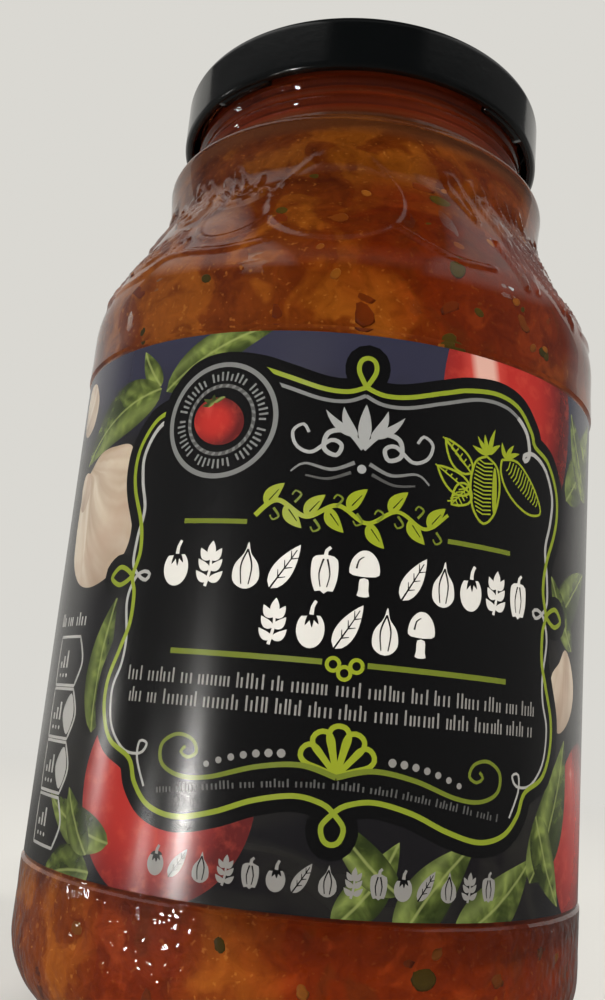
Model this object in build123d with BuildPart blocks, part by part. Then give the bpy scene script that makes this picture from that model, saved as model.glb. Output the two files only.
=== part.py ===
from build123d import *
import os
from math import cos, pi, radians, sin, sqrt, tan

# A jar of tomato sauce: a round glass jar with a recessed label panel, a sloping shoulder, a collar under
# a threaded neck, a wrap-round paper label, the sauce inside and a twist-on steel lid.
# The origin is the middle of the foot, +Z is up and the label's front faces -Y. Millimetres.

# Glass body
jar_radius = 44.0
wall = 3.0
heel_radius = 12.0
foot_flat = 1.6  # width of the ring that the jar stands on
push_up = 4.0  # how far the underside domes up inside that ring
floor_thickness = 4.2

# Label panel and paper label
panel_recess = 0.4
label_height = 74.5
label_bottom = 22.0
label_thickness = 0.15
label_margin = 0.5  # bare glass left above and below the paper
label_lap = 9.0  # how far the label's end overlaps its start, at the back

# Shoulder, waist and collar
bare_above_label = 7.5
shoulder_round = 16.0
shoulder_slope = 28.8  # degrees from vertical
waist_depth = 0.5  # how far the waist draws in from the collar
waist_round = 8.0
round_share = 0.8  # the two rounds take at most this much of the shoulder's width
collar_reach = 4.5  # how far the collar stands out from the neck
collar_height = 8.2
collar_round = 1.2

# Neck, rim and thread
neck_radius = 29.9
neck_wall = 2.9
neck_height = 17.6  # from the collar's top to the rim
neck_root_round = 1.5
bore_shift = 11.0  # height over which the inside narrows to the bore
rim_round = 1.1
thread_section = 0.85
thread_depth = 0.65  # how far the thread stands out of the neck
thread_pitch = 3.4
thread_turns = 2.8
thread_start = 3.0  # lowest point of the thread above the collar

# Sauce
headspace = 3.2  # below the rim, out of sight behind the lid
fill_clearance = 0.04

# Lid
lid_gauge = 0.45
lid_skirt = 9.6
lid_corner = 1.4
lid_curl = 0.85  # radius of the rolled edge
liner_thickness = 0.6
liner_reach = 0.3  # how far the liner stands into the bore
panel_step = 0.7  # the top's middle lies this much lower than its edge ring
panel_clearance = 0.5  # between the sunk middle and the bore
lug_count = 4
lug_angle = 20.0
lug_first = 45.0
lug_clearance = 0.15  # between a lug and the thread
lug_reach = 0.7  # how far a lug stands in from the rolled edge
lug_height = 1.1

# Radii that follow from the sizes above
panel_radius = jar_radius - panel_recess
collar_radius = neck_radius + collar_reach
waist_radius = collar_radius - waist_depth
bore_radius = neck_radius - neck_wall
lug_radius = neck_radius + thread_depth + lug_clearance
lid_radius = lug_radius + lug_reach + 2 * lid_curl

# The shoulder: a round at its foot, a straight slope, and a hollow round at the waist
slope_sin, slope_cos = sin(radians(shoulder_slope)), cos(radians(shoulder_slope))
rounds_width = (shoulder_round + waist_round) * (1 - slope_cos)
round_scale = min(1, round_share * (jar_radius - waist_radius) / rounds_width)
shoulder_radius = shoulder_round * round_scale
hollow_radius = waist_round * round_scale
slope_foot_radius = jar_radius - shoulder_radius * (1 - slope_cos)
slope_top_radius = waist_radius + hollow_radius * (1 - slope_cos)
slope_height = (slope_foot_radius - slope_top_radius) / tan(radians(shoulder_slope))

# Heights that follow, from the panel up to the lid
panel_bottom = label_bottom - label_margin
panel_top = label_bottom + label_height + label_margin
shoulder_start = panel_top + bare_above_label
slope_foot = shoulder_start + shoulder_radius * slope_sin
slope_top = slope_foot + slope_height
waist = slope_top + hollow_radius * slope_sin
collar_top = waist + collar_height
rim = collar_top + neck_height
fill_level = rim - headspace
lid_top = rim + liner_thickness + lid_gauge
lid_bottom = lid_top - lid_skirt


def draw_outside():
    """The glass's outer line, from the middle of its underside up to the rim."""
    foot_outer = jar_radius - heel_radius
    foot_inner = foot_outer - foot_flat
    TangentArc((0, push_up), (foot_inner, 0), tangent=(1, 0))
    Line((foot_inner, 0), (foot_outer, 0))
    CenterArc((foot_outer, heel_radius), heel_radius, -90, 90)
    Polyline(
        (jar_radius, heel_radius),
        (jar_radius, panel_bottom - panel_recess),
        (panel_radius, panel_bottom),
        (panel_radius, panel_top),
        (jar_radius, panel_top + panel_recess),
        (jar_radius, shoulder_start),
    )
    CenterArc((jar_radius - shoulder_radius, shoulder_start), shoulder_radius, 0, shoulder_slope)
    Line((slope_foot_radius, slope_foot), (slope_top_radius, slope_top))
    CenterArc((waist_radius + hollow_radius, waist), hollow_radius, 180 + shoulder_slope, -shoulder_slope)
    collar_side = collar_top - collar_round
    TangentArc((waist_radius, waist), (collar_radius, collar_side), tangent=(0, 1))
    CenterArc((collar_radius - collar_round, collar_side), collar_round, 0, 90)
    root = neck_radius + neck_root_round
    Line((collar_radius - collar_round, collar_top), (root, collar_top))
    CenterArc((root, collar_top + neck_root_round), neck_root_round, -90, -90)
    Line((neck_radius, collar_top + neck_root_round), (neck_radius, rim - rim_round))
    CenterArc((neck_radius - rim_round, rim - rim_round), rim_round, 0, 90)
    Line((neck_radius - rim_round, rim), (bore_radius + rim_round, rim))
    CenterArc((bore_radius + rim_round, rim - rim_round), rim_round, 90, 90)


def draw_inside(gap, top):
    """The line of the jar's inside, a gap further in, from its bore at height top down to the floor's middle."""
    bore = bore_radius - gap
    depth = wall + gap
    wide = waist_radius - depth
    middle = ((bore + wide) / 2, waist + bore_shift / 2)
    Line((bore, top), (bore, waist + bore_shift))
    TangentArc((bore, waist + bore_shift), middle, tangent=(0, -1))
    TangentArc((wide, waist), middle, tangent=(0, 1))
    CenterArc((waist_radius + hollow_radius, waist), hollow_radius + depth, 180, shoulder_slope)
    Line(
        (slope_top_radius - depth * slope_cos, slope_top - depth * slope_sin),
        (slope_foot_radius - depth * slope_cos, slope_foot - depth * slope_sin),
    )
    crown = shoulder_radius - depth
    CenterArc((jar_radius - shoulder_radius, shoulder_start), crown, shoulder_slope, -shoulder_slope)
    side = jar_radius - depth
    Line((side, shoulder_start), (side, heel_radius))
    heel_middle = jar_radius - heel_radius
    CenterArc((heel_middle, heel_radius), heel_radius - depth, 0, -90)
    floor_middle = push_up + floor_thickness + gap
    TangentArc((0, floor_middle), (heel_middle, depth), tangent=(1, 0))


with BuildPart() as thread:
    foot = collar_top + thread_start
    middle = neck_radius + thread_depth - thread_section
    with BuildLine() as path:
        Helix(pitch=thread_pitch, height=thread_pitch * thread_turns, radius=middle, center=(0, 0, foot))
    with BuildSketch(Plane(origin=path.line @ 0, x_dir=(1, 0, 0), z_dir=path.line % 0)):
        Circle(thread_section)
    sweep(is_frenet=True)
    with Locations(path.line @ 0, path.line @ 1):
        Sphere(thread_section)

with BuildPart() as glass:
    with BuildSketch(Plane.XZ):
        with BuildLine():
            draw_outside()
            draw_inside(0, rim - rim_round)
            Line((0, push_up + floor_thickness), (0, push_up))
        make_face()
    revolve(axis=Axis.Z)
    add(thread.part)

with BuildPart() as sauce:
    with BuildSketch(Plane.XZ):
        with BuildLine():
            draw_inside(fill_clearance, fill_level)
            Polyline(
                (0, push_up + floor_thickness + fill_clearance),
                (0, fill_level),
                (bore_radius - fill_clearance, fill_level),
            )
        make_face()
    revolve(axis=Axis.Z)

with BuildPart() as label:
    face_radius = panel_radius + label_thickness
    with BuildSketch(Plane.XY.offset(label_bottom)):
        Circle(face_radius)
        Circle(panel_radius, mode=Mode.SUBTRACT)
    extrude(amount=label_height)
    lap_angle = 360 * label_lap / (2 * pi * face_radius)
    with BuildSketch(Plane.YZ):
        with Locations((face_radius, label_bottom)):
            Rectangle(label_thickness, label_height, align=(Align.MIN, Align.MIN))
    revolve(axis=Axis.Z, revolution_arc=lap_angle)

with BuildPart() as lid:
    ring_outer = lid_radius - lid_corner
    sunk_radius = bore_radius - panel_clearance
    ring_inner = sunk_radius + panel_step
    skirt_foot = lid_bottom + lid_curl
    turn = lid_gauge * (sqrt(2) - 1)  # keeps the gauge round the two bends of the sunk middle
    with BuildSketch(Plane.XZ):
        with BuildLine():
            Polyline(
                (0, lid_top - panel_step),
                (sunk_radius, lid_top - panel_step),
                (ring_inner, lid_top),
                (ring_outer, lid_top),
            )
            CenterArc((ring_outer, lid_top - lid_corner), lid_corner, 0, 90)
            Polyline(
                (lid_radius, lid_top - lid_corner),
                (lid_radius, skirt_foot),
                (lid_radius - lid_gauge, skirt_foot),
                (lid_radius - lid_gauge, lid_top - lid_corner),
            )
            CenterArc((ring_outer, lid_top - lid_corner), lid_corner - lid_gauge, 0, 90)
            Polyline(
                (ring_outer, lid_top - lid_gauge),
                (ring_inner + turn, lid_top - lid_gauge),
                (sunk_radius + turn, lid_top - panel_step - lid_gauge),
                (0, lid_top - panel_step - lid_gauge),
                (0, lid_top - panel_step),
            )
        make_face()
        with Locations((lid_radius - lid_curl, skirt_foot)):
            Circle(lid_curl)
        with Locations((ring_outer, rim)):
            Rectangle(ring_outer - bore_radius + liner_reach, liner_thickness, align=(Align.MAX, Align.MIN))
    revolve(axis=Axis.Z)
    for turn_to in range(lug_count):
        lug_plane = Plane.XZ.rotated((0, 0, lug_first - lug_angle / 2 + turn_to * 360 / lug_count))
        with BuildSketch(lug_plane):
            with Locations((lug_radius, lid_bottom)):
                Rectangle(lug_reach + lid_curl, lug_height, align=(Align.MIN, Align.MIN))
        revolve(axis=Axis.Z, revolution_arc=lug_angle)

pieces = {"glass": glass, "sauce": sauce, "label": label, "lid": lid}
os.makedirs("parts", exist_ok=True)
for name, piece in pieces.items():
    piece.part.label = name
    export_step(piece.part, f"parts/{name}.step")
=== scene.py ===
import math
import random

import bmesh
import bpy
import numpy as np
from mathutils import Matrix, Vector, kdtree
from mathutils.geometry import delaunay_2d_cdt


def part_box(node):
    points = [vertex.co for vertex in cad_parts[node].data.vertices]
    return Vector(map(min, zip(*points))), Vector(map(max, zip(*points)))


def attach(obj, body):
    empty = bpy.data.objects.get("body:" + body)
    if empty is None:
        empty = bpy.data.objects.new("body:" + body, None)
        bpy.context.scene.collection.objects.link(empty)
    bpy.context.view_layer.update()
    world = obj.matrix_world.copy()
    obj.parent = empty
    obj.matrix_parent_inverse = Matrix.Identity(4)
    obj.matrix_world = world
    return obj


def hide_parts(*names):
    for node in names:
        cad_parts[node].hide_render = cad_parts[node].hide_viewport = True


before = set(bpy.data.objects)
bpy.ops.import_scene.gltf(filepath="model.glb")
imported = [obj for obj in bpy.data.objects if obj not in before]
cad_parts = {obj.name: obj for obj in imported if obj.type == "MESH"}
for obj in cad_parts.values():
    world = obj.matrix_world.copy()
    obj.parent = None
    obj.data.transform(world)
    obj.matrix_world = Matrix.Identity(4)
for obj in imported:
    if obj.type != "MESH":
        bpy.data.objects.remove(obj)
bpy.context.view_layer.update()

# Lengths are in millimetres until a mesh is made, so this turns them into metres.
mm = 0.001
_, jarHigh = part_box("glass")
lidLow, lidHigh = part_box("lid")
labelLow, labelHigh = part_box("label")
jarRadius = jarHigh.x / mm
rimHeight = jarHigh.z / mm
labelBottom = labelLow.z / mm
labelTop = labelHigh.z / mm


def addObject(name, data):
    thing = bpy.data.objects.new(name, data)
    bpy.context.collection.objects.link(thing)
    return thing


def addNode(tree, kind, inputs=None, **settings):
    node = tree.nodes.new(kind)
    for key, value in settings.items():
        setattr(node, key, value)
    for key, value in (inputs or {}).items():
        if isinstance(value, bpy.types.NodeSocket):
            tree.links.new(value, node.inputs[key])
        else:
            node.inputs[key].default_value = value
    return node


def mathNode(tree, kind, first, second=0.0):
    return addNode(tree, "ShaderNodeMath", {0: first, 1: second}, operation=kind).outputs[0]


def stretchRange(tree, value, low, high, outLow=0.0, outHigh=1.0):
    return addNode(tree, "ShaderNodeMapRange", {0: value, 1: low, 2: high, 3: outLow, 4: outHigh}).outputs[0]


def bothRanges(tree, first, second):
    # The product of two ranges, each given as a value, its two ends and what it gives at them.
    return mathNode(tree, "MULTIPLY", stretchRange(tree, *first), stretchRange(tree, *second))


def threeParts(tree, vector):
    return addNode(tree, "ShaderNodeSeparateXYZ", {0: vector}).outputs


def makePiece(name, points, faces, materials, slots=None):
    mesh = bpy.data.meshes.new(name)
    mesh.from_pydata((np.asarray(points, float) * mm).tolist(), [], faces)
    for mat in materials:
        mesh.materials.append(mat)
    if slots is not None:
        mesh.polygons.foreach_set("material_index", slots)
    mesh.shade_smooth()
    mesh.validate()
    return addObject(name, mesh)


def facesOut(piece):
    work = bmesh.new()
    work.from_mesh(piece.data)
    bmesh.ops.recalc_face_normals(work, faces=work.faces)
    work.to_mesh(piece.data)
    work.free()
    return piece


def arc(middle, radius, start, end, count):
    turns = np.radians(np.linspace(start, end, count))
    return [(middle[0] + radius * math.cos(t), middle[1] + radius * math.sin(t)) for t in turns]


def run(start, end, step):
    count = max(1, round(math.dist(start, end) / step))
    return [(start[0] + (end[0] - start[0]) * i / count, start[1] + (end[1] - start[1]) * i / count)
            for i in range(count + 1)]


def smoothLine(points, closed=False, step=0.55):
    # A curve through the points that doesn't overshoot between close ones.
    ends = [points[-1]] + points + points[:2] if closed else [points[0]] + points + [points[-1]]
    line = []
    for a, b, c, d in zip(ends, ends[1:], ends[2:], ends[3:]):
        count = max(1, round(math.dist(b, c) / step))
        for i in range(count):
            t = i / count
            line.append(tuple(0.5 * (2 * q + (r - p) * t + (2 * p - 5 * q + 4 * r - s) * t * t
                                     + (3 * q - p - 3 * r + s) * t ** 3) for p, q, r, s in zip(a, b, c, d)))
    return line if closed else line + [points[-1]]


def circleLine(x, y, radius):
    return arc((x, y), radius, 0, 360, max(10, round(12 * radius) + 8))


def leafShape(base, tip, width, bend=0.0, count=22):
    # A pointed leaf on a bent midrib; bend is how far the midrib's middle stands to its left.
    dx, dy = tip[0] - base[0], tip[1] - base[1]
    size = math.hypot(dx, dy)
    nx, ny = -dy / size, dx / size
    left, right = [], []
    for i in range(count + 1):
        t = i / count
        off = 4 * bend * t * (1 - t)
        half = width / 2 * math.sin(math.pi * t ** 0.72) ** 0.85 if 0 < t < 1 else 0
        x, y = base[0] + dx * t + nx * off, base[1] + dy * t + ny * off
        left.append((x + nx * half, y + ny * half))
        right.append((x - nx * half, y - ny * half))
    return right[:-1] + left[:0:-1]


def turnedFaces(counts):
    # Faces between rings of points, each ring with as many, twice or half as many points as the one before.
    faces, first = [], 0
    for here, there in zip(counts, counts[1:]):
        nextFirst = first + here
        if here == 1 or there == 1:
            ring, size, tip = (nextFirst, there, first) if here == 1 else (first, here, nextFirst)
            for i in range(size):
                pair = (ring + i, ring + (i + 1) % size)
                faces.append((tip, *reversed(pair)) if here == 1 else (tip, *pair))
        elif here == there:
            for i in range(here):
                j = (i + 1) % here
                faces.append((first + i, first + j, nextFirst + j, nextFirst + i))
        elif there == 2 * here:
            for i in range(here):
                j = (i + 1) % here
                a, b, c = nextFirst + 2 * i, nextFirst + 2 * i + 1, nextFirst + (2 * i + 2) % there
                faces += [(first + i, b, a), (first + i, first + j, b), (first + j, c, b)]
        else:
            for i in range(there):
                j = (i + 1) % there
                a, b, c = first + 2 * i, first + 2 * i + 1, first + (2 * i + 2) % here
                faces += [(a, b, nextFirst + i), (b, nextFirst + j, nextFirst + i), (b, c, nextFirst + j)]
        first = nextFirst
    return faces


def turnedPoints(rows, counts, shift=None):
    # One ring of points for each (radius, height); shift(angle, radius, height) moves them along the normal.
    rings = []
    line = np.array(rows, float)
    along = np.gradient(line, axis=0)
    length = np.maximum(np.hypot(along[:, 0], along[:, 1]), 1e-9)
    normals = np.stack([along[:, 1] / length, -along[:, 0] / length], 1)
    for (radius, height), normal, count in zip(rows, normals, counts):
        if count == 1:
            rings.append(np.array([[0.0, 0.0, height]]))
            continue
        angle = np.arange(count) * 2 * math.pi / count - math.pi / 2
        out = np.zeros(count) if shift is None else shift(angle, radius, height)
        r = radius + out * normal[0]
        z = height + out * normal[1]
        rings.append(np.stack([r * np.cos(angle), r * np.sin(angle), z], 1))
    return np.concatenate(rings)


def opaque(value):
    # A colour of three parts gets its fourth; anything else stays.
    return (*value, 1) if isinstance(value, tuple) and len(value) == 3 else value


def newMaterial(name, **values):
    mat = bpy.data.materials.new(name)
    mat.use_nodes = True
    tree = mat.node_tree
    base = tree.nodes["Principled BSDF"]
    for key, value in values.items():
        base.inputs[key.replace("_", " ")].default_value = opaque(value)
    return mat, tree, base


def mixToSurface(tree, share, first, second):
    mix = addNode(tree, "ShaderNodeMixShader", {0: share, 1: first.outputs[0], 2: second.outputs[0]})
    tree.links.new(mix.outputs[0], tree.nodes["Material Output"].inputs["Surface"])


def paint(tree, base, colour):
    tree.links.new(colour, base.inputs["Base Color"])


def inMillimetres(tree):
    where = addNode(tree, "ShaderNodeTexCoord").outputs["Object"]
    return addNode(tree, "ShaderNodeMapping", {0: where, 3: (1 / mm, 1 / mm, 1 / mm)}).outputs[0]


def noise(tree, place, scale, detail, rough, warp=0.0):
    node = addNode(tree, "ShaderNodeTexNoise", {"Vector": place, "Scale": scale, "Detail": detail,
                                                "Roughness": rough, "Distortion": warp})
    return node.outputs[0]


def ramp(tree, value, stops):
    node = addNode(tree, "ShaderNodeValToRGB", {0: value})
    elements = node.color_ramp.elements
    while len(elements) < len(stops):
        elements.new(0.5)
    for element, (place, colour) in zip(elements, stops):
        element.position = place
        element.color = opaque(colour)
    return node.outputs[0]


def blendColour(tree, share, first, second, kind="MIX"):
    sockets = {0: share, 6: opaque(first), 7: opaque(second)}
    return addNode(tree, "ShaderNodeMix", sockets, data_type="RGBA", blend_type=kind).outputs[2]


def addBump(tree, base, height, distance, strength=1.0):
    sockets = {"Height": height, "Distance": distance * mm, "Strength": strength}
    tree.links.new(addNode(tree, "ShaderNodeBump", sockets).outputs[0], base.inputs["Normal"])


view = {
    "distance": 167.2,  # from the jar's axis
    "height": 44.6,
    "swing": -4.7,  # degrees round the jar from the front of the label
    "pitch": 12.83,
    "roll": 5.25,
    "yaw": -1.69,
    "lens": 34.8,
}
room = {
    "board": (0.70, 0.686, 0.645),  # the pale floor and what lies behind it
    "reach": 2500,  # of the floor forwards and to each side
    "depth": 1600,  # of the floor behind the jar
    "bend": 500,  # the round on which the floor turns up
    "rise": 2200,
    "ownColour": (0.6, 1.0),  # the board's share of its own colour near the jar and far from it
    "mirroredBoard": (0.1, 0.85),  # its level in a reflection, in front and behind
    "ceilings": (0.66, 0.4),  # levels on the left and on the right
    "walls": 0.6,
    "shelf": 0.16,
    "sides": (0.02, 0.14),  # at the middle and at the sides
    "matt": 0.42,  # what matt surfaces get from all round
    "lampTint": (1, 0.97, 0.93),
}
lamps = {
    # Degrees round from the front, distance, height, face, watts, mirrored or not, height aimed at, spread.
    "leftKey": (-42, 262, 8, (14, 18), 0.15, True),
    "leftLow": (-55, 190, 7, (6, 6), 0.014, True),
    "leftSide": (-85, 420, 20, (26, 34), 0.08, True),
    "frontFill": (-14, 620, 200, (160, 120), 0.065, False, 80, 34),
    "leftHigh": (-50, 420, 400, (90, 90), 0.7, False),
    "rightHigh": (19, 400, 720, (60, 60), 1.6, False),
    "rightSide": (78, 400, 620, (60, 60), 1.7, False),
    "backHigh": (190, 500, 700, (300, 300), 3.0, False),
}


def aimCamera():
    pitch, roll, yaw, swing = (math.radians(view[k]) for k in ("pitch", "roll", "yaw", "swing"))
    ahead = Vector((math.sin(yaw) * math.cos(pitch), math.cos(yaw) * math.cos(pitch), math.sin(pitch)))
    across = Vector((math.cos(yaw), -math.sin(yaw), 0))
    above = across.cross(ahead)
    right = across * math.cos(roll) + above * math.sin(roll)
    up = above * math.cos(roll) - across * math.sin(roll)
    turn = Matrix((right, up, -ahead)).transposed().to_4x4()
    place = Matrix.Translation(Vector((0, -view["distance"] * mm, view["height"] * mm)))
    data = bpy.data.cameras.new("camera")
    data.lens = view["lens"]
    data.sensor_width = 36
    data.clip_start = 0.01
    camera = addObject("camera", data)
    camera.matrix_world = Matrix.Rotation(swing, 4, "Z") @ place @ turn
    bpy.context.scene.camera = camera


def lampAt(name, azimuth, distance, height, face, watts, mirrored, aim=60, spread=180):
    # The low lamps only make highlights, the high ones only light: so the floor stays plain.
    turn = math.radians(azimuth + view["swing"])
    place = Vector((math.sin(turn) * distance, -math.cos(turn) * distance, height)) * mm
    data = bpy.data.lights.new(name, "AREA")
    data.shape = "RECTANGLE"
    data.size, data.size_y = face[0] * mm, face[1] * mm
    data.energy = watts
    data.color = room["lampTint"]
    data.spread = math.radians(spread)
    lamp = addObject(name, data)
    lamp.location = place
    lamp.rotation_euler = (Vector((0, 0, aim * mm)) - place).to_track_quat("-Z", "Y").to_euler()
    lamp.visible_camera = False
    lamp.visible_glossy = mirrored
    lamp.visible_transmission = mirrored
    lamp.visible_diffuse = not mirrored


def stageFloor():
    reach, depth, bend = room["reach"], room["depth"], room["bend"]
    line = [(-reach, 0), *arc((depth - bend, bend), bend, -90, 0, 13), (depth, room["rise"])]
    points = [(x, y, z) for y, z in line for x in (-reach, reach)]
    faces = [(2 * i, 2 * i + 1, 2 * i + 3, 2 * i + 2) for i in range(len(line) - 1)]
    mat, tree, base = newMaterial("paleBoard", Base_Color=room["board"], Roughness=0.8,
                                  Specular_IOR_Level=0.0)
    # Seen directly or through glass the board has its own pale colour, less so near the jar, where the shadow
    # falls. In a reflection only its back part is pale.
    path = addNode(tree, "ShaderNodeLightPath")
    seen = mathNode(tree, "MAXIMUM", path.outputs["Is Camera Ray"], path.outputs["Is Transmission Ray"])
    where = addNode(tree, "ShaderNodeNewGeometry").outputs["Position"]
    far = addNode(tree, "ShaderNodeVectorMath", {0: where}, operation="LENGTH").outputs["Value"]
    share = mathNode(tree, "MULTIPLY", seen, stretchRange(tree, far, 0.12, 0.7, *room["ownColour"]))
    share = mathNode(tree, "MAXIMUM", share, path.outputs["Is Glossy Ray"])
    level = stretchRange(tree, threeParts(tree, where)[1], -0.1, 0.9, *room["mirroredBoard"])
    level = mathNode(tree, "MAXIMUM", level, seen)
    glow = addNode(tree, "ShaderNodeEmission", {0: (*room["board"], 1), 1: level})
    mixToSurface(tree, share, base, glow)
    makePiece("floor", points, faces, [mat])


def lightWorld():
    # An even soft level for matt surfaces; gloss sees pale walls behind, a pale ceiling at each side and a
    # shelf in front.
    world = bpy.data.worlds.new("studio")
    bpy.context.scene.world = world
    world.use_nodes = True
    tree = world.node_tree
    tree.nodes.clear()
    x, y, z = threeParts(tree, addNode(tree, "ShaderNodeTexCoord").outputs["Generated"])
    side = mathNode(tree, "ABSOLUTE", x)
    ceilings = bothRanges(tree, (side, 0.36, 0.44), (z, 0.6, 0.7))
    ceilings = mathNode(tree, "MULTIPLY", ceilings, stretchRange(tree, x, -0.1, 0.1, *room["ceilings"]))
    walls = mathNode(tree, "MULTIPLY", bothRanges(tree, (y, 0.3, 0.7), (z, 0.6, 0.4)), room["walls"])
    shelf = bothRanges(tree, (y, 0.1, -0.1), (z, 0.66, 0.8))
    shelf = mathNode(tree, "MULTIPLY", shelf, stretchRange(tree, z, 0.96, 0.8, 0.0, room["shelf"]))
    level = ceilings
    for part in (walls, shelf, stretchRange(tree, side, 0.3, 1.0, *room["sides"])):
        level = mathNode(tree, "ADD", level, part)
    path = addNode(tree, "ShaderNodeLightPath").outputs
    level = stretchRange(tree, path["Is Diffuse Ray"], 0, 1, level, room["matt"])
    around = addNode(tree, "ShaderNodeBackground", {0: (1, 0.985, 0.96, 1), 1: level})
    seen = addNode(tree, "ShaderNodeBackground", {0: (*room["board"], 1), 1: 1.0})
    mix = addNode(tree, "ShaderNodeMixShader", {0: path["Is Camera Ray"], 1: around.outputs[0],
                                                2: seen.outputs[0]})
    addNode(tree, "ShaderNodeOutputWorld", {0: mix.outputs[0]})


bpy.context.scene.view_settings.view_transform = "Standard"
aimCamera()
stageFloor()
lightWorld()
for name, settings in lamps.items():
    lampAt(name, *settings)
print("camera, floor and lamps placed")


# The jar's own sizes, in millimetres and degrees; its width and height come from the frame.
jar = {
    "wall": 3.0,
    "heelRound": 12.0,
    "footFlat": 1.6,
    "pushUp": 4.0,
    "floorThickness": 4.2,
    "panelRecess": 0.4,
    "panelMargin": 0.5,
    "bareAboveLabel": 7.5,
    "shoulderRound": 16.0,
    "shoulderSlope": 28.8,
    "waistDepth": 0.5,
    "waistRound": 8.0,
    "collarReach": 4.5,
    "collarHeight": 8.2,
    "collarRound": 1.2,
    "neck": 29.9,
    "neckWall": 2.9,
    "neckHeight": 17.6,
    "neckRootRound": 1.5,
    "boreShift": 11.0,
    "rimRound": 1.1,
    "threadStart": 3.0,
    "threadPitch": 3.4,
    "threadTurns": 2.8,
    "threadDepth": 0.65,
    "threadSection": 0.85,
    "headspace": 3.2,
    "segments": (128, 256, 512),  # faces round the jar: inside, where it is plain and where it has relief
    "heelFine": (3, 4.2, 0.02),  # seed, length and height of the glass's waves
    "heelBroad": (4, 11, 0.02),
    "shoulderWaves": (5, 15, 0.035),
    "hammered": 0.4,
    "footRibs": 96,
    "neckRings": 1.7,  # pitch of the fine rings on the neck
    "ringRise": 0.05,
}
slopeSin = math.sin(math.radians(jar["shoulderSlope"]))
slopeCos = math.cos(math.radians(jar["shoulderSlope"]))
panelRadius = jarRadius - jar["panelRecess"]
panelLow = labelBottom - jar["panelMargin"]
panelHigh = labelTop + jar["panelMargin"]
collarRadius = jar["neck"] + jar["collarReach"]
waistRadius = collarRadius - jar["waistDepth"]
boreRadius = jar["neck"] - jar["neckWall"]
collarTop = rimHeight - jar["neckHeight"]
waistHeight = collarTop - jar["collarHeight"]
shoulderFoot = panelHigh + jar["bareAboveLabel"]
crown = (jarRadius - jar["shoulderRound"], shoulderFoot)  # middle of the shoulder's round
hollow = (waistRadius + jar["waistRound"], waistHeight)  # middle of the waist's round
slopeFoot = (crown[0] + jar["shoulderRound"] * slopeCos, crown[1] + jar["shoulderRound"] * slopeSin)
slopeTop = (hollow[0] - jar["waistRound"] * slopeCos, hollow[1] - jar["waistRound"] * slopeSin)


def threadRise(angle, height):
    # The thread is one ridge that climbs round the neck; here it is its height above the neck's side.
    low = collarTop + jar["threadStart"]
    turn = ((angle + math.pi / 2) / (2 * math.pi)) % 1
    rise = np.zeros_like(angle)
    for lap in range(math.ceil(jar["threadTurns"]) + 1):
        travelled = turn + lap - 0.25
        fade = np.clip(travelled / 0.03, 0, 1) * np.clip((jar["threadTurns"] - travelled) / 0.03, 0, 1)
        off = np.abs(height - low - jar["threadPitch"] * travelled)
        sunk = jar["threadSection"] - jar["threadDepth"]
        ridge = np.sqrt(np.clip(jar["threadSection"] ** 2 - off ** 2, 0, None)) - sunk
        rise = np.maximum(rise, np.clip(ridge, 0, None) * np.sqrt(fade))
    return rise


def domeArc(peak, edge, count):
    # A shallow arc that starts level on the axis and ends at the edge.
    drop = peak - edge[1]
    radius = (edge[0] ** 2 + drop ** 2) / (2 * drop)
    return arc((0, peak - radius), radius, 90, math.degrees(math.acos(edge[0] / radius)), count)


def insideLine(reach, top, step):
    # From the bore down to the middle of the floor, moved a reach into the wall.
    bore, depth = boreRadius + reach, jar["wall"] - reach
    wide, bend = waistRadius - depth, waistHeight + jar["boreShift"]
    side, heel = jarRadius - depth, jarRadius - jar["heelRound"]
    line = run((bore, top), (bore, bend), 2 * step)
    curve = round(jar["boreShift"] / step)
    line += [(wide + (bore - wide) * (1 + math.cos(math.pi * i / curve)) / 2,
              bend - jar["boreShift"] * i / curve) for i in range(1, curve)]
    line += arc(hollow, jar["waistRound"] + depth, 180, 180 + jar["shoulderSlope"], round(6 / step))
    line += run((slopeTop[0] - depth * slopeCos, slopeTop[1] - depth * slopeSin),
                (slopeFoot[0] - depth * slopeCos, slopeFoot[1] - depth * slopeSin), step)[1:]
    line += arc(crown, jar["shoulderRound"] - depth, jar["shoulderSlope"], 0, round(7 / step))[1:]
    line += run((side, shoulderFoot), (side, panelHigh), step)[1:]
    line += run((side, panelHigh), (side, panelLow), 5)[1:]
    line += run((side, panelLow), (side, jar["heelRound"]), step)[1:]
    line += arc((heel, jar["heelRound"]), jar["heelRound"] - depth, 0, -90, round(14 / step))[1:]
    line += domeArc(jar["pushUp"] + jar["floorThickness"] - reach, (heel, depth), 12)[-2::-1]
    return line


def waves(angle, height, seed, long, strength):
    # A soft unevenness that closes on itself round the jar, with waves about so long.
    dice = random.Random(seed)
    total = np.zeros_like(angle)
    for _ in range(14):
        heading = dice.uniform(0, math.pi)
        laps = round(2 * math.pi * 42 / long * math.cos(heading))
        total += np.sin(laps * angle + 2 * math.pi * height / long * math.sin(heading) + dice.uniform(0, 6.3))
    return total / math.sqrt(14) * strength


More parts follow.
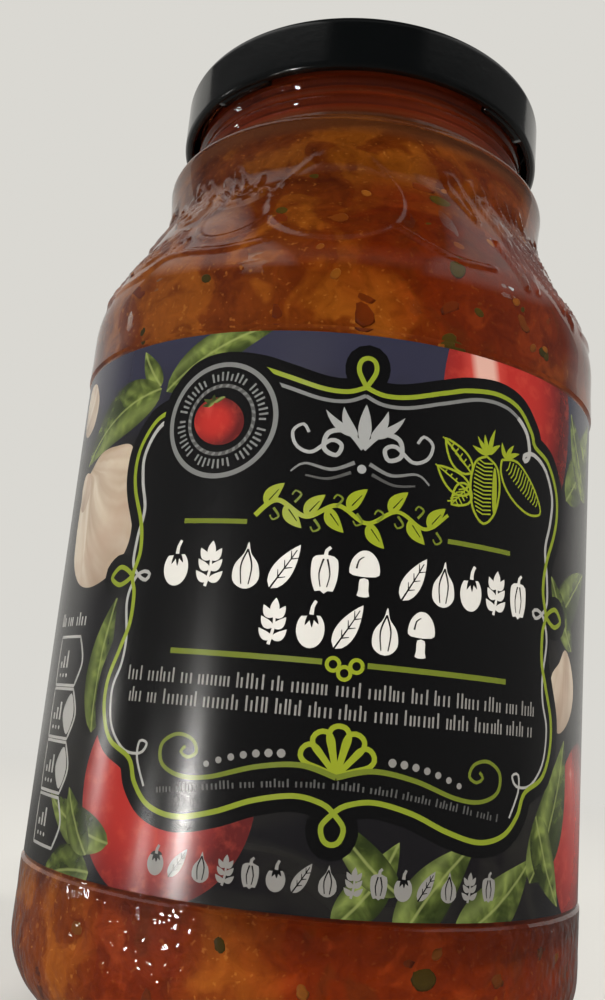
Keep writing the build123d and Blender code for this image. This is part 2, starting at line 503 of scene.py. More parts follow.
relief = {
    "repeats": 3,  # the vine runs round the shoulder this many times
    "ridge": 0.45,  # how far a line stands out
    "halfWidth": 0.7,
    "dome": 0.32,
    "outline": 0.7,  # a tomato's outline against the other lines
    "top": 131.5,
    "flatRadius": 39,  # at which degrees round the jar become millimetres
    "slant": 1.12,  # millimetres up the slope for each one of height
    "leftEnd": 1.12,  # radians from the front to the left end of one repeat
    # Places are degrees round from the front and height on the jar. Tomatoes and rings have a radius, leaves
    # a foot, a tip, a width and a number of pairs of side veins.
    "tomatoes": [(-9.3, 121.0, 10.4), (-32.5, 118.5, 6.4)],
    "rings": [(31, 126.4, 1.1), (-44.5, 113.6, 1.3)],
    "calyx": ((-33, 121), [(-39.5, 130.4), (-43, 128), (-44, 125), (-30.5, 127), (-27.5, 122)]),
    "leaves": [((-45, 121.5), (-55, 129.6), 3.6, 3), ((-45.5, 120.5), (-63, 127.4), 3.8, 3),
               ((-45, 122), (-49.5, 129), 2.8, 0), ((-46, 117), (-64, 113), 4.8, 4),
               ((19, 129.6), (26, 121), 2.4, 0), ((27.5, 130.6), (35, 119), 3.0, 0),
               ((35, 131), (46.5, 121.5), 2.6, 0), ((46, 130.5), (51, 120), 3.0, 0),
               ((33, 125), (36.6, 110.4), 2.0, 0), ((29.6, 118), (33.2, 110), 1.5, 0),
               ((40, 122), (50.5, 108), 2.2, 0)],
    "vines": [[(-64, 109), (-52, 109.6), (-46, 111.4), (-40, 111.2), (-30, 110.2), (-22, 111.2)],
              [(4.6, 115.2), (10, 112.4), (17, 110.6), (25, 111.2)],
              [(26, 129), (36, 121.5), (47, 110)], [(56, 127), (57, 118), (56, 109)]],
}


def laidFlat(place):
    # A place on the shoulder in millimetres, as if it lay flat: x round it, y up it.
    angle, height = place
    return angle * math.radians(1) * relief["flatRadius"], (height - shoulderFoot) * relief["slant"]


def reliefLines():
    # The vine's lines, laid flat. The tomatoes' outlines are softer, so they have a list of their own.
    soft, lines = [], []
    for angle, height, radius in relief["tomatoes"]:
        soft.append(circleLine(*laidFlat((angle, height)), radius))
    for angle, height, radius in relief["rings"]:
        lines.append(circleLine(*laidFlat((angle, height)), radius))
    middle, tips = relief["calyx"]
    for tip in tips:
        outline = leafShape(laidFlat(middle), laidFlat(tip), 1.9, 0.4, 12)
        lines.append(outline + outline[:1])
    for foot, tip, wide, veins in relief["leaves"]:
        outline = leafShape(laidFlat(foot), laidFlat(tip), wide, 0.8, 18)
        lines.append(outline + outline[:1])
        (x, y), end = laidFlat(foot), laidFlat(tip)
        dx, dy = end[0] - x, end[1] - y
        if veins:
            lines.append([(x, y), end])
        for k in range(1, veins + 1):
            t = k / (veins + 1.5)
            a, b = x + dx * t, y + dy * t
            for side in (-0.14, 0.14):
                lines.append([(a, b), (a + dx * 0.14 - side * dy, b + dy * 0.14 + side * dx)])
    for vine in relief["vines"]:
        lines.append(smoothLine([laidFlat(point) for point in vine], step=1))
    return soft, lines


def reliefTree():
    # One tree for each kind of line, with how high its lines stand.
    trees = []
    for lines, share in zip(reliefLines(), (relief["outline"], 1.0)):
        spots = [spot for line in lines for a, b in zip(line, line[1:]) for spot in run(a, b, 0.25)]
        tree = kdtree.KDTree(len(spots))
        for i, (x, y) in enumerate(spots):
            tree.insert((x, y, 0), i)
        tree.balance()
        trees.append((tree, share))
    return trees


def reliefRise(angle, radius, height, trees):
    turn = 2 * math.pi / relief["repeats"]
    around = (angle + math.pi / 2 + relief["leftEnd"]) % turn - relief["leftEnd"]
    x, y = laidFlat((np.degrees(around), height))
    spare = max(0.0, min(1.0, (jarRadius - radius) / (relief["ridge"] + relief["dome"])))
    rise = np.zeros_like(angle)
    for tree, share in trees:
        for i, value in enumerate(x):
            off = tree.find((value, y, 0))[2] / relief["halfWidth"]
            if off < 1:
                rise[i] = max(rise[i], share * relief["ridge"] * (0.5 + 0.5 * math.cos(math.pi * off)))
    for spot, level, size in relief["tomatoes"]:
        middle = laidFlat((spot, level))
        away = np.hypot(x - middle[0], y - middle[1]) / size
        rise += relief["dome"] * np.sqrt(np.clip(1 - away ** 2, 0, 1))
    return rise * spare


def between(height, low, high, soft):
    # 1 between two heights, falling to 0 at both over a short way.
    return max(0.0, min(1.0, (height - low) / soft, (high - height) / soft))


def glassShift(angle, radius, height):
    # How far the glass stands out of its turned shape: uneven at the heel and the shoulder, with the vine on
    # the shoulder, and the thread and fine rings on the neck.
    heel = max(0.0, min(1.0, (panelLow - 1 - height) / 3)) * min(1.0, max(0.0, height) / 4)
    bare = between(height, panelHigh + 1, waistHeight, 3)
    shift = np.zeros_like(angle)
    if heel and radius > 33:
        shift += (waves(angle, height, *jar["heelFine"]) - 0.05) * heel
        shift += waves(angle, height, *jar["heelBroad"]) * heel
    if bare:
        shift += (waves(angle, height, *jar["shoulderWaves"]) - 0.08) * bare
    vine = between(height, shoulderFoot + 2, relief["top"], 2)
    if vine:
        shift += reliefRise(angle, radius, height, reliefSpots) * vine
    if height > collarTop:
        shift += threadRise(angle, height)
    if height > collarTop + 2 and radius > jar["neck"] - 0.01:
        # Fine rings lie between the coils of the thread.
        climb = 2 * math.pi * height / jar["neckRings"] - 2 * (angle + math.pi / 2)
        fade = min(1.0, (rimHeight - 2 - height) / 2, height - collarTop - 2)
        shift += jar["ringRise"] * (np.sin(climb) - 1) * fade
    return shift


reliefSpots = reliefTree()


def buildGlass():
    foot = jarRadius - jar["heelRound"]
    coarse, plain, fine = jar["segments"]
    rows, counts = [], []

    def add(line, count):
        rows.extend(line)
        counts.extend([count] * len(line))

    dome = domeArc(jar["pushUp"], (foot - jar["footFlat"], 0), 9)
    add(dome[:1], 1)
    add(dome[1:], coarse)
    add([(foot - 0.6 * jar["footFlat"], 0), (foot - 0.2, 0)], plain)
    add(arc((foot, jar["heelRound"]), jar["heelRound"], -88, 0, 34), fine)
    add(run((jarRadius, jar["heelRound"] + 0.6), (jarRadius, panelLow - jar["panelRecess"]), 0.8), fine)
    add(run((panelRadius, panelLow), (panelRadius, panelHigh), 12), plain)
    add(run((jarRadius, panelHigh + jar["panelRecess"]), (jarRadius, shoulderFoot), 0.5), fine)
    add(arc(crown, jar["shoulderRound"], 0, jar["shoulderSlope"], 18)[1:], fine)
    add(run(slopeFoot, slopeTop, 0.47)[1:], fine)
    add(arc(hollow, jar["waistRound"], 180 + jar["shoulderSlope"], 180, 9)[1:], fine)
    collarSide, reach, curve = collarTop - jar["collarRound"], jar["waistDepth"], 8
    add([(waistRadius + reach * (1 - math.cos(math.pi / 2 * i / curve)),
          waistHeight + (collarSide - waistHeight) * i / curve) for i in range(1, curve)], plain)
    add(arc((collarRadius - jar["collarRound"], collarSide), jar["collarRound"], 0, 90, 7), plain)
    root, neckFoot = jar["neck"] + jar["neckRootRound"], collarTop + jar["neckRootRound"]
    add([(root + 0.6, collarTop)], plain)
    add(arc((root, neckFoot), jar["neckRootRound"], -90, -180, 6), plain)
    rimFoot = rimHeight - jar["rimRound"]
    add(run((jar["neck"], neckFoot), (jar["neck"], rimFoot), 0.24)[1:], plain)
    add(arc((jar["neck"] - jar["rimRound"], rimFoot), jar["rimRound"], 0, 90, 6)[1:], plain)
    add(arc((boreRadius + jar["rimRound"], rimFoot), jar["rimRound"], 90, 180, 6), coarse)
    add(insideLine(0, rimFoot, 1.5)[1:-1], coarse)
    add([(0, jar["pushUp"] + jar["floorThickness"])], 1)
    clear, tree, base = newMaterial("clearGlass", Base_Color=(0.93, 0.965, 0.945), Roughness=0.015, IOR=1.5,
                                    Transmission_Weight=1.0)
    through = addNode(tree, "ShaderNodeBsdfTransparent", {"Color": (0.95, 0.96, 0.95, 1)})
    mixToSurface(tree, addNode(tree, "ShaderNodeLightPath").outputs["Is Shadow Ray"], base, through)
    # The heel is hammered: a fine unevenness that the light breaks up on.
    place = inMillimetres(tree)
    x, y, height = threeParts(tree, place)
    low = bothRanges(tree, (height, 1, 4), (height, 21.6, 20))
    dimples = mathNode(tree, "MULTIPLY", noise(tree, place, 0.5, 1.5, 0.5), low)
    turn = mathNode(tree, "ARCTAN2", y, x)
    ribs = mathNode(tree, "SINE", mathNode(tree, "MULTIPLY", turn, jar["footRibs"]))
    ribs = mathNode(tree, "MULTIPLY", ribs, stretchRange(tree, height, 0.9, 0.5, 0.0, 0.35))
    dimples = mathNode(tree, "ADD", dimples, ribs)
    addBump(tree, base, dimples, jar["hammered"])
    piece = makePiece("jarGlass", turnedPoints(rows, counts, glassShift), turnedFaces(counts), [clear])
    # The four edges of the label's panel stay sharp.
    steps = (panelLow - jar["panelRecess"], panelLow, panelHigh, panelHigh + jar["panelRecess"])
    for edge in piece.data.edges:
        low, high = (piece.data.vertices[i].co.z / mm for i in edge.vertices)
        edge.use_edge_sharp = any(abs(low - step) + abs(high - step) < 0.02 for step in steps)
    print("glass", len(piece.data.polygons), "faces")
    return piece


glass = buildGlass()


def tone(red, green, blue):
    # A screen colour of 0 to 255 as the linear colour that a material takes.
    parts = (v / 255 for v in (red, green, blue))
    return tuple(v / 12.92 if v <= 0.04045 else ((v + 0.055) / 1.055) ** 2.4 for v in parts)


sauceLook = {
    "reach": 0.13,  # how far the sauce goes into the glass wall
    "lumps": (11, 8, 0.03),  # seed, length and height of its waves
    "deep": tone(82, 29, 4),
    "body": tone(103, 45, 8),
    "bright": tone(128, 67, 15),
    # the tone of the painted glints
    "pale": tone(164, 104, 42),
    "red": tone(90, 27, 2),
    "redBright": tone(110, 39, 7),
    # the neck's tone, painted lighter to make up for the lid's shade
    "neck": tone(158, 58, 24),
    "neckPaintedShade": tone(92, 31, 12),
    # the tone of the painted band at the neck's foot
    "collar": tone(112, 62, 32),
    "neckPaintedHighlight": tone(150, 78, 44),
    "lift": (1.5, 1.6, 0.9),  # all tones are multiplied by these: body, painted light at the heel on top of that, and painted shade from the upper shoulder up to the neck
}


def buildSauce():
    level = rimHeight - jar["headspace"]
    bore = boreRadius + sauceLook["reach"]
    rows = [(0, level)] + run((bore / 8, level), (bore, level), 3.4)
    rows += insideLine(sauceLook["reach"], level, 1.1)[1:]
    counts = [1] + [256] * (len(rows) - 2) + [1]

    def lumps(angle, radius, height):
        if height > level - 1 or radius < 20:
            return np.zeros_like(angle)
        return np.clip(waves(angle, height, *sauceLook["lumps"]), -0.05, 0.08)

    mat, tree, base = newMaterial("cookedTomato", Roughness=0.4, IOR=1.4, Specular_IOR_Level=0.06)
    place = inMillimetres(tree)
    x, y, height = threeParts(tree, place)
    # Amber where the oil and onion gather, redder where there is more tomato, in soft pieces 5 to 10 mm wide.
    broad = noise(tree, place, 0.03, 2, 0.5, 0.4)
    lean = mathNode(tree, "ADD", broad, stretchRange(tree, x, -40, 40, -0.1, 0.1))
    lean = mathNode(tree, "ADD", lean, stretchRange(tree, height, 60, 20, 0.0, 0.13))
    reddish = stretchRange(tree, lean, 0.47, 0.6)
    patch = noise(tree, place, 0.11, 3, 0.45, 1.0)
    amber = ramp(tree, patch, [(0.34, sauceLook["deep"]), (0.45, sauceLook["body"]), (0.5, sauceLook["body"]),
                               (0.57, sauceLook["bright"]), (0.66, sauceLook["bright"])])
    red = ramp(tree, patch, [(0.36, sauceLook["deep"]), (0.46, sauceLook["red"]), (0.58, sauceLook["red"]),
                             (0.66, sauceLook["redBright"])])
    body = blendColour(tree, reddish, amber, red)
    fine = noise(tree, place, 0.34, 4, 0.6, 0.8)
    pulp = ramp(tree, fine, [(0.32, (0.72, 0.64, 0.56)), (0.5, (1.0, 1.0, 1.0)), (0.66, (1.24, 1.28, 1.32))])
    mixed = blendColour(tree, 0.8, body, pulp, "MULTIPLY")
    # Painted glints: small pale flecks, fewer where the sauce is red, stand in for golden glints of light on
    # the oil.
    grain = noise(tree, place, 1.3, 1.5, 0.5)
    fleck = bothRanges(tree, (grain, 0.64, 0.74, 0.0, 0.5), (reddish, 0, 1, 1, 0.2))
    mixed = blendColour(tree, fleck, mixed, sauceLook["pale"])
    # Painted light and shade: darker and lighter bands in the neck's red follow the thread's coils, standing
    # in for the glass's coils refracting and reflecting.
    climb = mathNode(tree, "MULTIPLY", mathNode(tree, "ARCTAN2", y, x), -1)
    coil = mathNode(tree, "MULTIPLY", mathNode(tree, "SUBTRACT", height, jar["threadStart"]),
                    2 * math.pi / jar["threadPitch"])
    coil = mathNode(tree, "SINE", mathNode(tree, "ADD", coil, climb))
    neck = blendColour(tree, stretchRange(tree, coil, -0.2, -0.9, 0.0, 0.6), sauceLook["neck"],
                       sauceLook["neckPaintedShade"])
    neck = blendColour(tree, stretchRange(tree, coil, 0.8, 1.0, 0.0, 0.5), neck, sauceLook["neckPaintedHighlight"])
    # Painted light: at the neck's foot the red turns to a browner band, standing in for the grey band that
    # the collar's thick glass shows edge-on.
    neck = blendColour(tree, stretchRange(tree, height, 142.4, 141.2), neck, sauceLook["collar"])
    # Painted light: the neck's sauce has its own redder tone, made lighter than the body to make up for the
    # lid's shade.
    mixed = blendColour(tree, stretchRange(tree, height, 136.0, 138.2, 0.0, 0.9), mixed, neck)
    # Painted light and shade: the sauce is lighter towards the heel and darker from the upper shoulder up, to
    # make up for how the light falls there.
    whole, heel, upperPaintedShade = sauceLook["lift"]
    lift = bothRanges(tree, (height, 30, 14, 1.0, heel), (height, 102, 122, whole, upperPaintedShade))
    paint(tree, base, addNode(tree, "ShaderNodeVectorMath", {0: mixed, "Scale": lift},
                              operation="SCALE").outputs[0])
    addBump(tree, base, fine, 0.35, 0.5)
    piece = makePiece("sauceBody", turnedPoints(rows, counts, lumps), turnedFaces(counts), [mat])
    for polygon in piece.data.polygons:
        polygon.flip()
    print("sauce", len(piece.data.polygons), "faces")
    return facesOut(piece)


sauce = buildSauce()


lid = {
    "gauge": 0.45,
    "corner": 1.4,
    "curl": 0.85,
    "linerReach": 0.3,
    "step": 0.7,
    "clearance": 0.5,
    "lugs": 4,
    "lugAngle": 20,
    "lugFirst": 45,
    "lugHeight": 1.1,
    "lugReach": 0.7,
    "enamel": (0.0022, 0.0027, 0.003),
    "dust": (0.03, 0.031, 0.033),
}


def buildLid():
    radius, bottom, top = lidHigh.x / mm, lidLow.z / mm, lidHigh.z / mm
    gauge, corner, curl = lid["gauge"], lid["corner"], lid["curl"]
    sunk, ring, foot = boreRadius - lid["clearance"], radius - corner, bottom + curl
    inner = sunk + lid["step"]
    line = [(0, top - lid["step"]), (8, top - lid["step"]), (18, top - lid["step"])]
    line += [(sunk - 0.5 + 0.35 * i, top - lid["step"] * (1 + math.cos(math.pi * i / 4)) / 2)
             for i in range(5)]
    line += run((inner + 0.6, top), (ring - 0.2, top), 1.2)
    line += arc((ring, top - corner), corner, 90, 0, 12)
    line += run((radius, top - corner - 0.3), (radius, foot + 0.3), 0.9)
    line += arc((radius - curl, foot), curl, 0, -270, 22)
    line += [(radius - gauge - 0.5, foot + curl + 0.02), (radius - gauge, foot + curl + 0.5)]
    line += [(radius - gauge, top - corner)]
    line += arc((ring, top - corner), corner - gauge, 0, 90, 6)
    liner = boreRadius - lid["linerReach"]
    line += [(ring - 0.5, top - gauge), (ring - 0.6, rimHeight)]
    line += [(liner, rimHeight), (liner, rimHeight + 0.15)]
    line += [(sunk, top - lid["step"] - gauge), (0, top - lid["step"] - gauge)]
    line = line[::-1]
    counts = [1] + [256] * (len(line) - 2) + [1]
    mat, tree, base = newMaterial("blackEnamel", Roughness=0.12)
    place = inMillimetres(tree)
    speck = noise(tree, place, 2.4, 2, 0.5)
    dust = stretchRange(tree, speck, 0.68, 0.76, 0.0, 0.2)
    paint(tree, base, blendColour(tree, dust, lid["enamel"], lid["dust"]))
    smear = noise(tree, place, 0.12, 3, 0.6)
    tree.links.new(stretchRange(tree, smear, 0.3, 0.7, 0.09, 0.15), base.inputs["Roughness"])
    addBump(tree, base, noise(tree, place, 0.9, 2, 0.5), 0.02, 0.5)
    return facesOut(makePiece("lidShell", turnedPoints(line, counts), turnedFaces(counts), [mat]))


lidShell = buildLid()


# Each kind of bit: how many for each square metre of wall, the smallest and the largest scale, tilt and seed;
# its shape's name, width, length, thickness, unevenness and seed; its finish's name, two tones and roughness.
bits = {
    "basilFlecks": ((3600.0, 0.5, 1.9, 0.03, 3), ("fleck", 1.6, 2.2, 0.16, 0.28, 1),
                    ("basilGreen", tone(80, 62, 13), tone(56, 50, 12), 0.4)),
    "tomatoSeeds": ((2600.0, 0.7, 1.0, 0.06, 5), ("seed", 1.6, 2.1, 0.26, 0.05, 2),
                    ("seedPale", tone(152, 88, 26), tone(132, 70, 18), 0.3)),
    "onionBits": ((3000.0, 0.5, 1.2, 0.02, 8), ("onion", 2.2, 3.4, 0.13, 0.16, 4),
                  ("onionAmber", tone(126, 64, 16), tone(112, 52, 10), 0.3)),
    "tomatoPulp": ((4600.0, 0.4, 1.2, 0.02, 13), ("pulp", 2.4, 3.6, 0.13, 0.2, 6),
                   ("pulpRed", tone(120, 50, 9), tone(106, 38, 6), 0.4)),
}
bitsFoot, bitsTop = 3.2, 132.0  # the heights between which they lie


def plainCopy(piece, name):
    # The modifier's result as a plain mesh in an object of its own.
    bpy.context.view_layer.update()
    graph = bpy.context.evaluated_depsgraph_get()
    mesh = bpy.data.meshes.new_from_object(piece.evaluated_get(graph), depsgraph=graph)
    piece.modifiers.clear()
    bpy.data.objects.remove(piece)
    return addObject(name, mesh)


def groupInput(tree, name, kind, value):
    socket = tree.interface.new_socket(name, in_out="INPUT", socket_type=kind)
    if value is not None:
        socket.default_value = value
    return socket.identifier


def shapeCopies(tree, shape, points, turned, more):
    thing = addNode(tree, "GeometryNodeObjectInfo", {"Object": shape}).outputs["Geometry"]
    return addNode(tree, "GeometryNodeInstanceOnPoints",
                   {"Points": points, "Instance": thing, "Rotation": turned, **more})


def realCopies(tree, copies, material):
    solid = addNode(tree, "GeometryNodeRealizeInstances", {"Geometry": copies.outputs[0]}).outputs[0]
    done = addNode(tree, "GeometryNodeSetMaterial", {"Geometry": solid, "Material": material})
    addNode(tree, "NodeGroupOutput", {0: done.outputs[0]})


def scatterTree(name, shape, material):
    # Copies of one small shape on a surface, each turned about the surface's normal and sized at random.
    tree = bpy.data.node_groups.new(name, "GeometryNodeTree")
    groupInput(tree, "Geometry", "NodeSocketGeometry", None)
    ids = {}
    for key, value in (("Density", 1000.0), ("Smallest", 0.5), ("Largest", 1.0), ("Tilt", 0.2)):
        ids[key] = groupInput(tree, key, "NodeSocketFloat", value)
    ids["Seed"] = groupInput(tree, "Seed", "NodeSocketInt", 1)
    tree.interface.new_socket("Geometry", in_out="OUTPUT", socket_type="NodeSocketGeometry")
    given = addNode(tree, "NodeGroupInput").outputs
    spread = addNode(tree, "GeometryNodeDistributePointsOnFaces",
                     {"Mesh": given["Geometry"], "Density": given["Density"], "Seed": given["Seed"]})
    tilt = given["Tilt"]
    low = mathNode(tree, "MULTIPLY", tilt, -1.0)
    least = addNode(tree, "ShaderNodeCombineXYZ", {0: low, 1: low, 2: 0.0}).outputs[0]
    most = addNode(tree, "ShaderNodeCombineXYZ", {0: tilt, 1: tilt, 2: 2 * math.pi}).outputs[0]
    turn = addNode(tree, "FunctionNodeRandomValue", {"Min": least, "Max": most, "Seed": given["Seed"]},
                   data_type="FLOAT_VECTOR").outputs[0]
    turn = addNode(tree, "FunctionNodeEulerToRotation", {0: turn}).outputs[0]
    turned = addNode(tree, "FunctionNodeRotateRotation", {0: spread.outputs["Rotation"], 1: turn},
                     rotation_space="LOCAL")
    size = addNode(tree, "FunctionNodeRandomValue", data_type="FLOAT")
    for key, value in (("Min", given["Smallest"]), ("Max", given["Largest"]), ("Seed", given["Seed"])):
        linkNamed(tree, value, size, key)
    copies = shapeCopies(tree, shape, spread.outputs["Points"], turned.outputs[0], {"Scale": size.outputs[1]})
    shade = addNode(tree, "FunctionNodeRandomValue", data_type="FLOAT")
    marked = addNode(tree, "GeometryNodeStoreNamedAttribute",
                     {"Geometry": copies.outputs[0], "Name": "shade"}, data_type="FLOAT", domain="INSTANCE")
    linkNamed(tree, shade.outputs[1], marked, "Value")
    realCopies(tree, marked, material)
    return tree, ids


def linkNamed(tree, output, node, name):
    # Of the sockets that share a name, the one in use is the one that is enabled.
    socket = next(s for s in node.inputs if s.name == name and s.enabled)
    tree.links.new(output, socket)


def innerStrip(name, low, high, reach):
    rows = [p for p in insideLine(reach, rimHeight - jar["headspace"], 1.5) if low <= p[1] <= high]
    counts = [160] * len(rows)
    strip = makePiece(name, turnedPoints(rows, counts), turnedFaces(counts), [])
    for polygon in strip.data.polygons:
        polygon.flip()
    return strip


def lumpShape(name, wide, long, thick, rough, seed):
    # A small uneven body, flat on the way to the glass.
    work = bmesh.new()
    bmesh.ops.create_icosphere(work, subdivisions=2, radius=1.0)
    dice = random.Random(seed)
    phases = [(dice.uniform(0, 6.3), dice.randint(2, 4)) for _ in range(4)]
    for vertex in work.verts:
        a = math.atan2(vertex.co.y, vertex.co.x)
        grow = 1 + rough * sum(math.sin(n * a + p) for p, n in phases) / 2
        x, y, z = vertex.co.x * grow * wide / 2, vertex.co.y * grow * long / 2, vertex.co.z * thick / 2
        vertex.co = Vector((x, y, z)) * mm
    mesh = bpy.data.meshes.new(name)
    work.to_mesh(mesh)
    work.free()
    mesh.shade_smooth()
    return addObject(name, mesh)


def bitMaterial(name, first, second, rough):
    mat, tree, base = newMaterial(name, Roughness=rough, Specular_IOR_Level=0.1)
    shade = addNode(tree, "ShaderNodeAttribute", attribute_name="shade").outputs["Fac"]
    colour = blendColour(tree, shade, first, second)
    mottle = noise(tree, inMillimetres(tree), 1.2, 3, 0.6)
    colour = blendColour(tree, stretchRange(tree, mottle, 0.3, 0.7, 0.0, 0.55), colour,
                         tuple(v * 0.7 for v in first))
    paint(tree, base, colour)
    return mat


def scatterBits(name, spread, sizes, finish):
    shape = lumpShape(*sizes)
    tree, ids = scatterTree(name, shape, bitMaterial(*finish))
    parts = []
    # None are needed behind the label.
    for part, low, high in (("Low", bitsFoot, panelLow + 2.5), ("High", panelHigh - 2.5, bitsTop)):
        strip = innerStrip(name + part, low, high, sauceLook["reach"] - 0.02)
        modifier = strip.modifiers.new(name, "NODES")
        modifier.node_group = tree
        for key, value in zip(("Density", "Smallest", "Largest", "Tilt", "Seed"), spread):
            modifier[ids[key]] = value
        parts.append(plainCopy(strip, name + part))
    bpy.data.objects.remove(shape)
    work = bmesh.new()
    for part in parts:
        work.from_mesh(part.data)
    whole = parts[0].data
    work.to_mesh(whole)
    work.free()
    bpy.data.objects.remove(parts[1])
    parts[0].name = name
    whole.shade_smooth()
    print(name, len(whole.polygons), "faces")
    return parts[0]


bitPieces = [scatterBits(name, *settings) for name, settings in bits.items()]


def lugShape():
    # One lug: the rolled edge pressed inwards over a short arc.
    radius, bottom = lidHigh.x / mm, lidLow.z / mm
    inner = radius - 2 * lid["curl"] - lid["lugReach"]
    outer, top, soft = radius - lid["curl"], bottom + lid["lugHeight"], 0.25
    section = [(inner + soft, bottom), (outer, bottom), (outer, top), (inner + soft, top)]
    section += arc((inner + soft, top - soft), soft, 90, 180, 4)[1:]
    section += arc((inner + soft, bottom + soft), soft, 180, 270, 4)[:-1]
    count, points, faces = 12, [], []
    for i in range(count + 1):
        a = math.radians(lid["lugAngle"]) * (i / count - 0.5)
        points += [(r * math.cos(a), r * math.sin(a), z) for r, z in section]
    size = len(section)
    for i in range(count):
        for k in range(size):
            a, b = i * size + k, i * size + (k + 1) % size
            faces.append((a, b, b + size, a + size))
    faces += [tuple(range(size))[::-1], tuple(count * size + k for k in range(size))]
    return facesOut(makePiece("lugShape", points, faces, []))


def buildLugs(material):
    tree = bpy.data.node_groups.new("lugRing", "GeometryNodeTree")
    groupInput(tree, "Geometry", "NodeSocketGeometry", None)
    count = groupInput(tree, "Count", "NodeSocketInt", 4)
    first = groupInput(tree, "First", "NodeSocketFloat", 0.0)
    tree.interface.new_socket("Geometry", in_out="OUTPUT", socket_type="NodeSocketGeometry")
    given = addNode(tree, "NodeGroupInput").outputs
    ring = addNode(tree, "GeometryNodeMeshLine", {"Count": given["Count"], "Offset": (0, 0, 0)})
    points = addNode(tree, "GeometryNodeMeshToPoints", {"Mesh": ring.outputs[0]})
    index = addNode(tree, "GeometryNodeInputIndex").outputs[0]
    turn = mathNode(tree, "MULTIPLY", mathNode(tree, "DIVIDE", index, given["Count"]), 2 * math.pi)
    turn = mathNode(tree, "ADD", turn, given["First"])
    turn = addNode(tree, "ShaderNodeCombineXYZ", {2: turn}).outputs[0]
    turn = addNode(tree, "FunctionNodeEulerToRotation", {0: turn}).outputs[0]
    shape = lugShape()
    realCopies(tree, shapeCopies(tree, shape, points.outputs[0], turn, {}), material)
    host = makePiece("lugHost", [(0, 0, 0), (1, 0, 0), (0, 1, 0)], [(0, 1, 2)], [])
    modifier = host.modifiers.new("lugs", "NODES")
    modifier.node_group = tree
    modifier[count] = lid["lugs"]
    modifier[first] = math.radians(lid["lugFirst"])
    lugs = plainCopy(host, "lidLugs")
    bpy.data.objects.remove(shape)
    return lugs


lidLugs = buildLugs(lidShell.data.materials[0])
print("lid, lugs and bits made")


# The label's print is drawn flat, in millimetres: x round the jar from the front's middle, y up the paper.
label = {
    "thickness": 0.15,
    "lap": 9.0,
    "strip": 2.0,  # width of the ground's strips, which bend round the jar
    "roughness": 0.24,
    "smear": 0.55,  # the print's gloss runs up and down
}
printRadius = panelRadius + label["thickness"]
paperWidth = 2 * math.pi * printRadius
paperHeight = labelTop - labelBottom
paperStart, paperEnd = -paperWidth / 2, paperWidth / 2 + label["lap"]
inks = {
    "panelBlack": tone(13, 13, 14),
    "lineGreen": tone(128, 142, 38),
    "leafGreen": tone(138, 150, 34),
    "ruleGreen": tone(104, 116, 36),
    "titleWhite": tone(214, 212, 207),
    "lineSilver": tone(150, 151, 150),
    "softSilver": tone(114, 115, 114),
    "dimGrey": tone(78, 78, 77),
    "textGrey": tone(132, 130, 127),
    "boxWhite": tone(164, 163, 160),
}
drawn = []  # (ink or picture kind, outline, frame of the picture)


def lay(ink, outlines, frameOf=None):
    drawn.extend((ink, outline, frameOf) for outline in outlines)


def band(line, width, endWidth=None):
    # A stroke along a line, as short outlines that never cross themselves.
    endWidth = width if endWidth is None else endWidth
    last = len(line) - 1
    left, right = [], []
    for i, (x, y) in enumerate(line):
        a, b = line[max(0, i - 1)], line[min(last, i + 1)]
        size = max(math.dist(a, b), 1e-6)
        half = (width + (endWidth - width) * i / last) / 2
        nx, ny = (a[1] - b[1]) / size * half, (b[0] - a[0]) / size * half
        left.append((x + nx, y + ny))
        right.append((x - nx, y - ny))
    quads = [[right[i], right[i + 1], left[i + 1], left[i]] for i in range(last)]
    return [untwisted(quad) for quad in quads]


def untwisted(corners):
    # The corners in order round their middle, so that a tight bend's outline doesn't cross itself.
    mx, my = (sum(c[k] for c in corners) / len(corners) for k in (0, 1))
    return sorted(corners, key=lambda c: math.atan2(c[1] - my, c[0] - mx))


def ellipse(x, y, wide, tall=None, turn=0.0, count=None):
    tall = wide if tall is None else tall
    count = count or max(8, round(7 * math.sqrt(max(wide, tall)) * 2))
    c, s = math.cos(math.radians(turn)), math.sin(math.radians(turn))
    steps = [2 * math.pi * i / count for i in range(count)]
    return [(x + wide * math.cos(t) * c - tall * math.sin(t) * s,
             y + wide * math.cos(t) * s + tall * math.sin(t) * c) for t in steps]


def mirrored(line):
    return [(-x, y) for x, y in line]


def clip(outline):
    # Keeps an outline on the paper.
    for side, keep in ((0.0, lambda p: p[1] >= 0.0), (paperHeight, lambda p: p[1] <= paperHeight)):
        kept = []
        for a, b in zip(outline, outline[1:] + outline[:1]):
            if keep(a):
                kept.append(a)
            if keep(a) != keep(b):
                t = (side - a[1]) / (b[1] - a[1])
                kept.append((a[0] + (b[0] - a[0]) * t, side))
        outline = kept
    return outline


def pictureLeaf(base, tip, width, bend=0.0):
    lay("leaves", [clip(leafShape(base, tip, width, bend))], ("leaf", base, tip, width, bend))


def pictureTomato(x, y, wide, tall, shine=(-0.45, 0.25), turn=20, cut=None):
    outline = clip(ellipse(x, y, wide, tall, 0, 72))
    if cut is not None:
        outline = [(min(px, cut), py) for px, py in outline]
    lay("tomatoes", [outline], ("tomato", x, y, wide, tall, shine, turn))


def pictureGarlic(outline, stem, foot):
    lay("garlic", [clip(smoothLine(outline, True, 0.8))], ("garlic", stem, foot))


